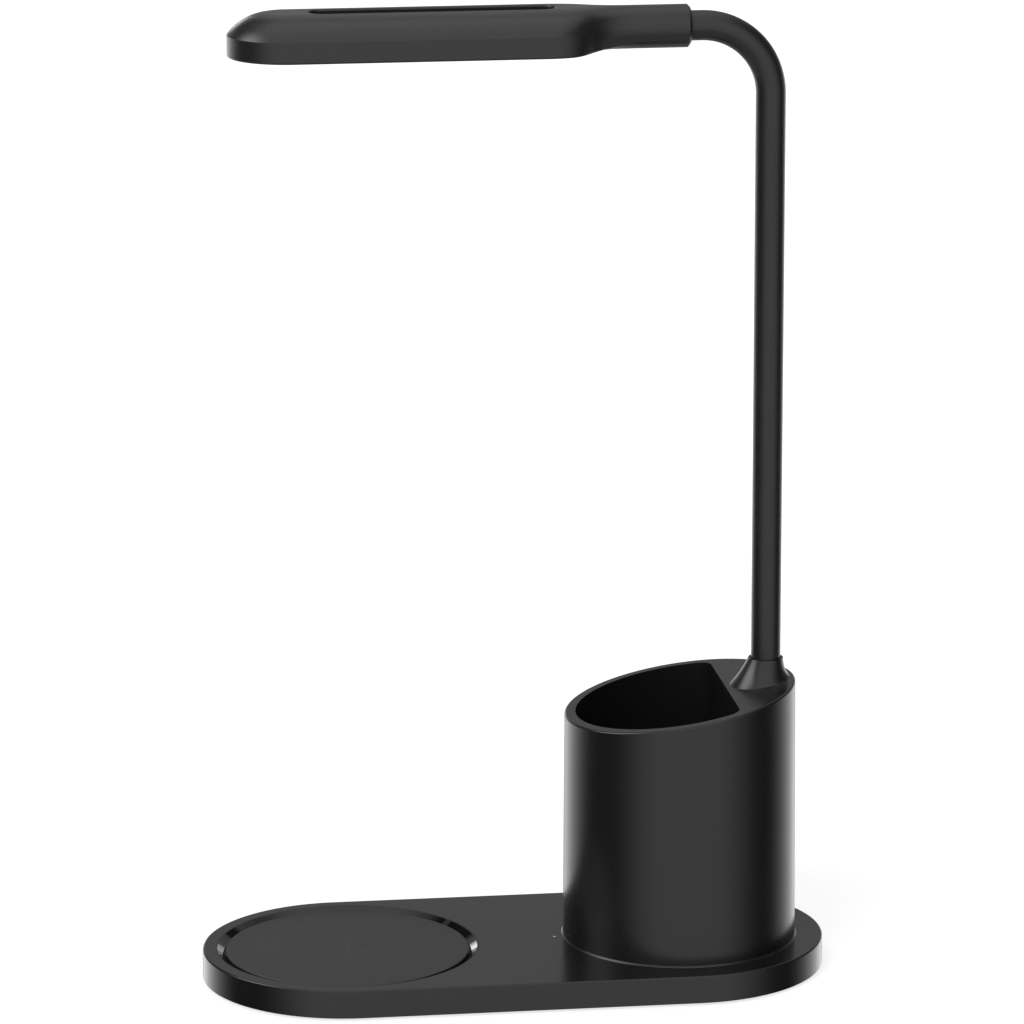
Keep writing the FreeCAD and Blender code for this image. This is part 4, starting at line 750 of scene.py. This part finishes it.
def led_packages_tree():
    """Two rows of LED packages: a white body and a domed drop of phosphor gel on each point."""
    group = bpy.data.node_groups.new("led_packages", "GeometryNodeTree")
    for name, kind in (
        ("Per Row", "NodeSocketInt"),
        ("Pitch", "NodeSocketFloat"),
        ("Row Offset", "NodeSocketFloat"),
        ("Package", "NodeSocketVector"),
        ("Gel Radius", "NodeSocketFloat"),
        ("Middle", "NodeSocketVector"),
        ("Body Finish", "NodeSocketMaterial"),
        ("Gel Finish", "NodeSocketMaterial"),
    ):
        group.interface.new_socket(name, in_out="INPUT", socket_type=kind)
    group.interface.new_socket("Geometry", in_out="OUTPUT", socket_type="NodeSocketGeometry")
    tree = Tree(group)
    given = tree.given()
    points = tree.add("GeometryNodeMeshGrid", inputs={
        "Size X": given["Pitch"] * (given["Per Row"] - 1), "Size Y": given["Row Offset"] * 2,
        "Vertices X": given["Per Row"], "Vertices Y": 2,
    })
    body = tree.add("GeometryNodeMeshCube", inputs={"Size": given["Package"]})
    ball = tree.add(
        "GeometryNodeMeshUVSphere",
        inputs={"Segments": 20, "Rings": 10, "Radius": given["Gel Radius"]},
    )
    _, _, height = tree.split(given["Package"].socket)
    under = tree.joined(0.0, 0.0, height * -0.5)
    gel = tree.add(
        "GeometryNodeTransform",
        inputs={"Geometry": ball.outputs["Mesh"], "Scale": (1.0, 1.0, 0.09), "Translation": under},
    )
    shells = []
    for shape, finish in ((body.outputs["Mesh"], "Body Finish"), (gel.outputs[0], "Gel Finish")):
        spread = tree.add(
            "GeometryNodeInstanceOnPoints",
            inputs={"Points": points.outputs["Mesh"], "Instance": shape},
        )
        real = tree.add("GeometryNodeRealizeInstances", inputs={"Geometry": spread.outputs[0]})
        inputs = {"Geometry": real.outputs[0], "Material": given[finish]}
        shells.append(tree.add("GeometryNodeSetMaterial", inputs=inputs))
    both = tree.add("GeometryNodeJoinGeometry")
    for shell in shells:
        tree.links.new(shell.outputs[0], both.inputs[0])
    moved = tree.add(
        "GeometryNodeTransform",
        inputs={"Geometry": both.outputs[0], "Translation": given["Middle"]},
    )
    real = tree.add("GeometryNodeRealizeInstances", inputs={"Geometry": moved.outputs[0]})
    tree.add("NodeGroupOutput", inputs={"Geometry": real.outputs[0]})
    return group


led_packages = baked(
    "led_packages",
    led_packages_tree(),
    per_row=14,
    pitch=LED_PITCH,
    row_offset=LED_ROW,
    package=LED_PACKAGE,
    gel_radius=GEL_RADIUS,
    middle=(HEAD_X, 0.0, LED_SEAT - LED_PACKAGE[2] / 2),
    body_finish=FINISHES["led_body"],
    gel_finish=FINISHES["phosphor"],
)
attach(led_packages, "head")
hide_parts("led_chips")


def lead_run(name, points, body):
    """A stiff stretch of the lamp's lead through a few points."""
    curve = bpy.data.curves.new(name, "CURVE")
    curve.dimensions = "3D"
    curve.bevel_depth = LEAD_RADIUS
    curve.bevel_resolution = 4
    curve.use_fill_caps = True
    curve.resolution_u = 8
    spline = curve.splines.new("NURBS")
    spline.points.add(len(points) - 1)
    for point, place in zip(spline.points, points):
        point.co = (*place, 1.0)
    spline.order_u = 3
    spline.use_endpoint_u = True
    maker = bpy.data.objects.new(f"{name}_maker", curve)
    bpy.context.scene.collection.objects.link(maker)
    evaluated = maker.evaluated_get(bpy.context.evaluated_depsgraph_get())
    mesh = bpy.data.meshes.new_from_object(evaluated)
    bpy.data.objects.remove(maker)
    mesh.name = name
    mesh.materials.clear()
    mesh.materials.append(FINISHES["stiff_lead_jacket"])
    piece = placed(name, mesh)
    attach(piece, body)
    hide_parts("lamp_lead")


lead_in_base = [(x, 0, LEAD_LEVEL) for x in (0.021, 0.06, 0.088)]
lead_in_cup = [(ARM_X, 0, z) for z in (0.0085, 0.02, 0.06, CORE_LOW)]
lead_run("lead_foot", lead_in_base + lead_in_cup, "stand")
lead_run("lead_head", [(x, 0, ARM_HEIGHT) for x in (0.0509, 0.03, 0.0132)], "head")


# Light, floor and background
def studio_world():
    """White behind the object; its reflections see soft panels with dark gaps between them."""
    world = bpy.data.worlds.new("studio")
    bpy.context.scene.world = world
    world.use_nodes = True
    tree = Tree(world.node_tree)
    tree.nodes.clear()
    x, y, z = tree.split(tree.add("ShaderNodeTexCoord").outputs["Generated"])
    back = x * VIEW_BACK[0] + y * VIEW_BACK[1]
    side = x * VIEW_BACK[1] - y * VIEW_BACK[0]
    flat = (x * x + y * y + 1e-6).maths("SQRT")
    turn = (back / flat).clamped(-1.0, 1.0).maths("ARCCOSINE") / math.pi  # 0 behind, 1 in front
    aside = side / flat
    right = aside.step(-0.3, 0.3)
    above = z.step(-0.04, 0.12)
    low_rear = (turn.step(0.03, 0.12) * 0.7 + 0.3) * 1.65
    high_rear = z.step(0.36, 0.50) * 0.17 + 0.28
    rear = (1.0 - turn.step(0.14, 0.47)) * (low_rear * (1.0 - above) + above * high_rear)
    front = (turn + (right - 0.5) * 0.08).step(0.55, 0.86) * (0.91 + above * 0.12)
    box = back * SOFT_BOX[1] + side * SOFT_BOX[0] + z * SOFT_BOX[2]
    # Behind the object, the trim ring and the head's dome mirror dark gaps and two small bright panels
    behind = 1.0 - turn.step(0.40, 0.50)
    gap_left = (1.0 - aside.step(-0.36, -0.12)) * z.step(0.30, 0.40) * (1.0 - z.step(0.70, 0.80))
    gap_right = aside.step(0.20, 0.40) * z.step(0.40, 0.45) * (1.0 - z.step(0.53, 0.60))
    strip = 1.0 - abs(z - 0.665).step(0.012, 0.03)
    gaps = (gap_left * (1.0 - strip)).highest(gap_right) * behind
    lit = (1.0 - abs(z - 0.15).step(0.05, 0.09)) * behind
    patch_left = 1.0 - abs(aside + 0.26).step(0.05, 0.12)
    patch_right = 1.0 - abs(aside - 0.26).step(0.05, 0.12)
    patches = patch_left * 3.2 + patch_right * 1.1
    level = (rear + front + 0.02).highest(patches * lit) * (1.0 - gaps * 0.92)
    panels = level.highest(box.step(0.88, 0.995) * 4.2)
    overhead = z.step(0.74, 0.95)
    panels = panels * (1.0 - overhead) + overhead * 1.05
    under = 1.0 - z.step(-0.55, -0.35)
    panels = panels * (1.0 - under) + under * 0.4
    path = tree.add("ShaderNodeLightPath").outputs
    camera = Value(tree, path["Is Camera Ray"])
    clear = camera.highest(Value(tree, path["Is Transmission Ray"]))
    mirrored = Value(tree, path["Is Glossy Ray"])
    seen = clear + (1.0 - clear) * panels
    shown = tree.add("ShaderNodeBackground", inputs={"Color": grey(1.0), "Strength": seen})
    fill = tree.add("ShaderNodeBackground", inputs={"Color": grey(1.0), "Strength": 0.5})
    sharp = clear.highest(mirrored)
    mixed = tree.add("ShaderNodeMixShader", inputs=[sharp, fill.outputs[0], shown.outputs[0]])
    tree.add("ShaderNodeOutputWorld", inputs={"Surface": mixed.outputs[0]})


def pale_floor():
    """A pale floor that shows as white but keeps the object's shadow."""
    half = 6.0
    mesh = bpy.data.meshes.new("floor")
    corners = [(-half, -half, 0), (half, -half, 0), (half, half, 0), (-half, half, 0)]
    mesh.from_pydata(corners, [], [(0, 1, 2, 3)])
    floor = bpy.data.objects.new("floor", mesh)
    bpy.context.scene.collection.objects.link(floor)
    material = bpy.data.materials.new("floor_white")
    material.use_nodes = True
    tree = Tree(material.node_tree)
    tree.nodes.clear()
    path = tree.add("ShaderNodeLightPath").outputs
    seen = Value(tree, path["Is Camera Ray"]).highest(Value(tree, path["Is Glossy Ray"]))
    seen = seen.highest(Value(tree, path["Is Transmission Ray"]))
    x, y, _ = tree.split(tree.add("ShaderNodeNewGeometry").outputs["Position"])
    away = (x * x + y * y).maths("SQRT").step(0.15, 0.9)
    plain = tree.add("ShaderNodeBsdfDiffuse", inputs={"Color": grey(0.8)})
    shadowed = tree.add("ShaderNodeBsdfDiffuse", inputs={"Color": grey(0.30)})
    glow = tree.add("ShaderNodeEmission", inputs={"Color": grey(1.0), "Strength": away * 0.22 + 0.76})
    white = tree.add("ShaderNodeAddShader", inputs=[shadowed.outputs[0], glow.outputs[0]])
    mixed = tree.add("ShaderNodeMixShader", inputs=[seen, plain.outputs[0], white.outputs[0]])
    tree.add("ShaderNodeOutputMaterial", inputs={"Surface": mixed.outputs[0]})
    mesh.materials.append(material)
    floor.visible_glossy = False


def soft_lamp(name, place, target, size, power):
    lamp = bpy.data.lights.new(name, "AREA")
    lamp.shape = "DISK"
    lamp.size = size
    lamp.energy = power
    holder = bpy.data.objects.new(name, lamp)
    bpy.context.scene.collection.objects.link(holder)
    holder.visible_glossy = False
    holder.location = place
    holder.rotation_euler = (Vector(target) - Vector(place)).to_track_quat("-Z", "Y").to_euler()


def photo_camera():
    data = bpy.data.cameras.new("camera")
    data.lens = CAMERA_LENS
    data.sensor_width = 36.0
    camera = bpy.data.objects.new("camera", data)
    bpy.context.scene.collection.objects.link(camera)
    back = -Vector(CAMERA_FORWARD)
    turn = Matrix((CAMERA_RIGHT, CAMERA_UP, back)).transposed().to_4x4()
    camera.matrix_world = Matrix.Translation(CAMERA_PLACE) @ turn
    bpy.context.scene.camera = camera


photo_camera()
studio_world()
pale_floor()
soft_lamp("key", (-0.7, -1.1, 1.5), (0.0, 0.0, 0.15), 0.9, 22.0)
soft_lamp("top", (0.2, 0.5, 1.8), (0.0, 0.0, 0.1), 1.1, 8.0)
bpy.context.scene.view_settings.view_transform = "Standard"
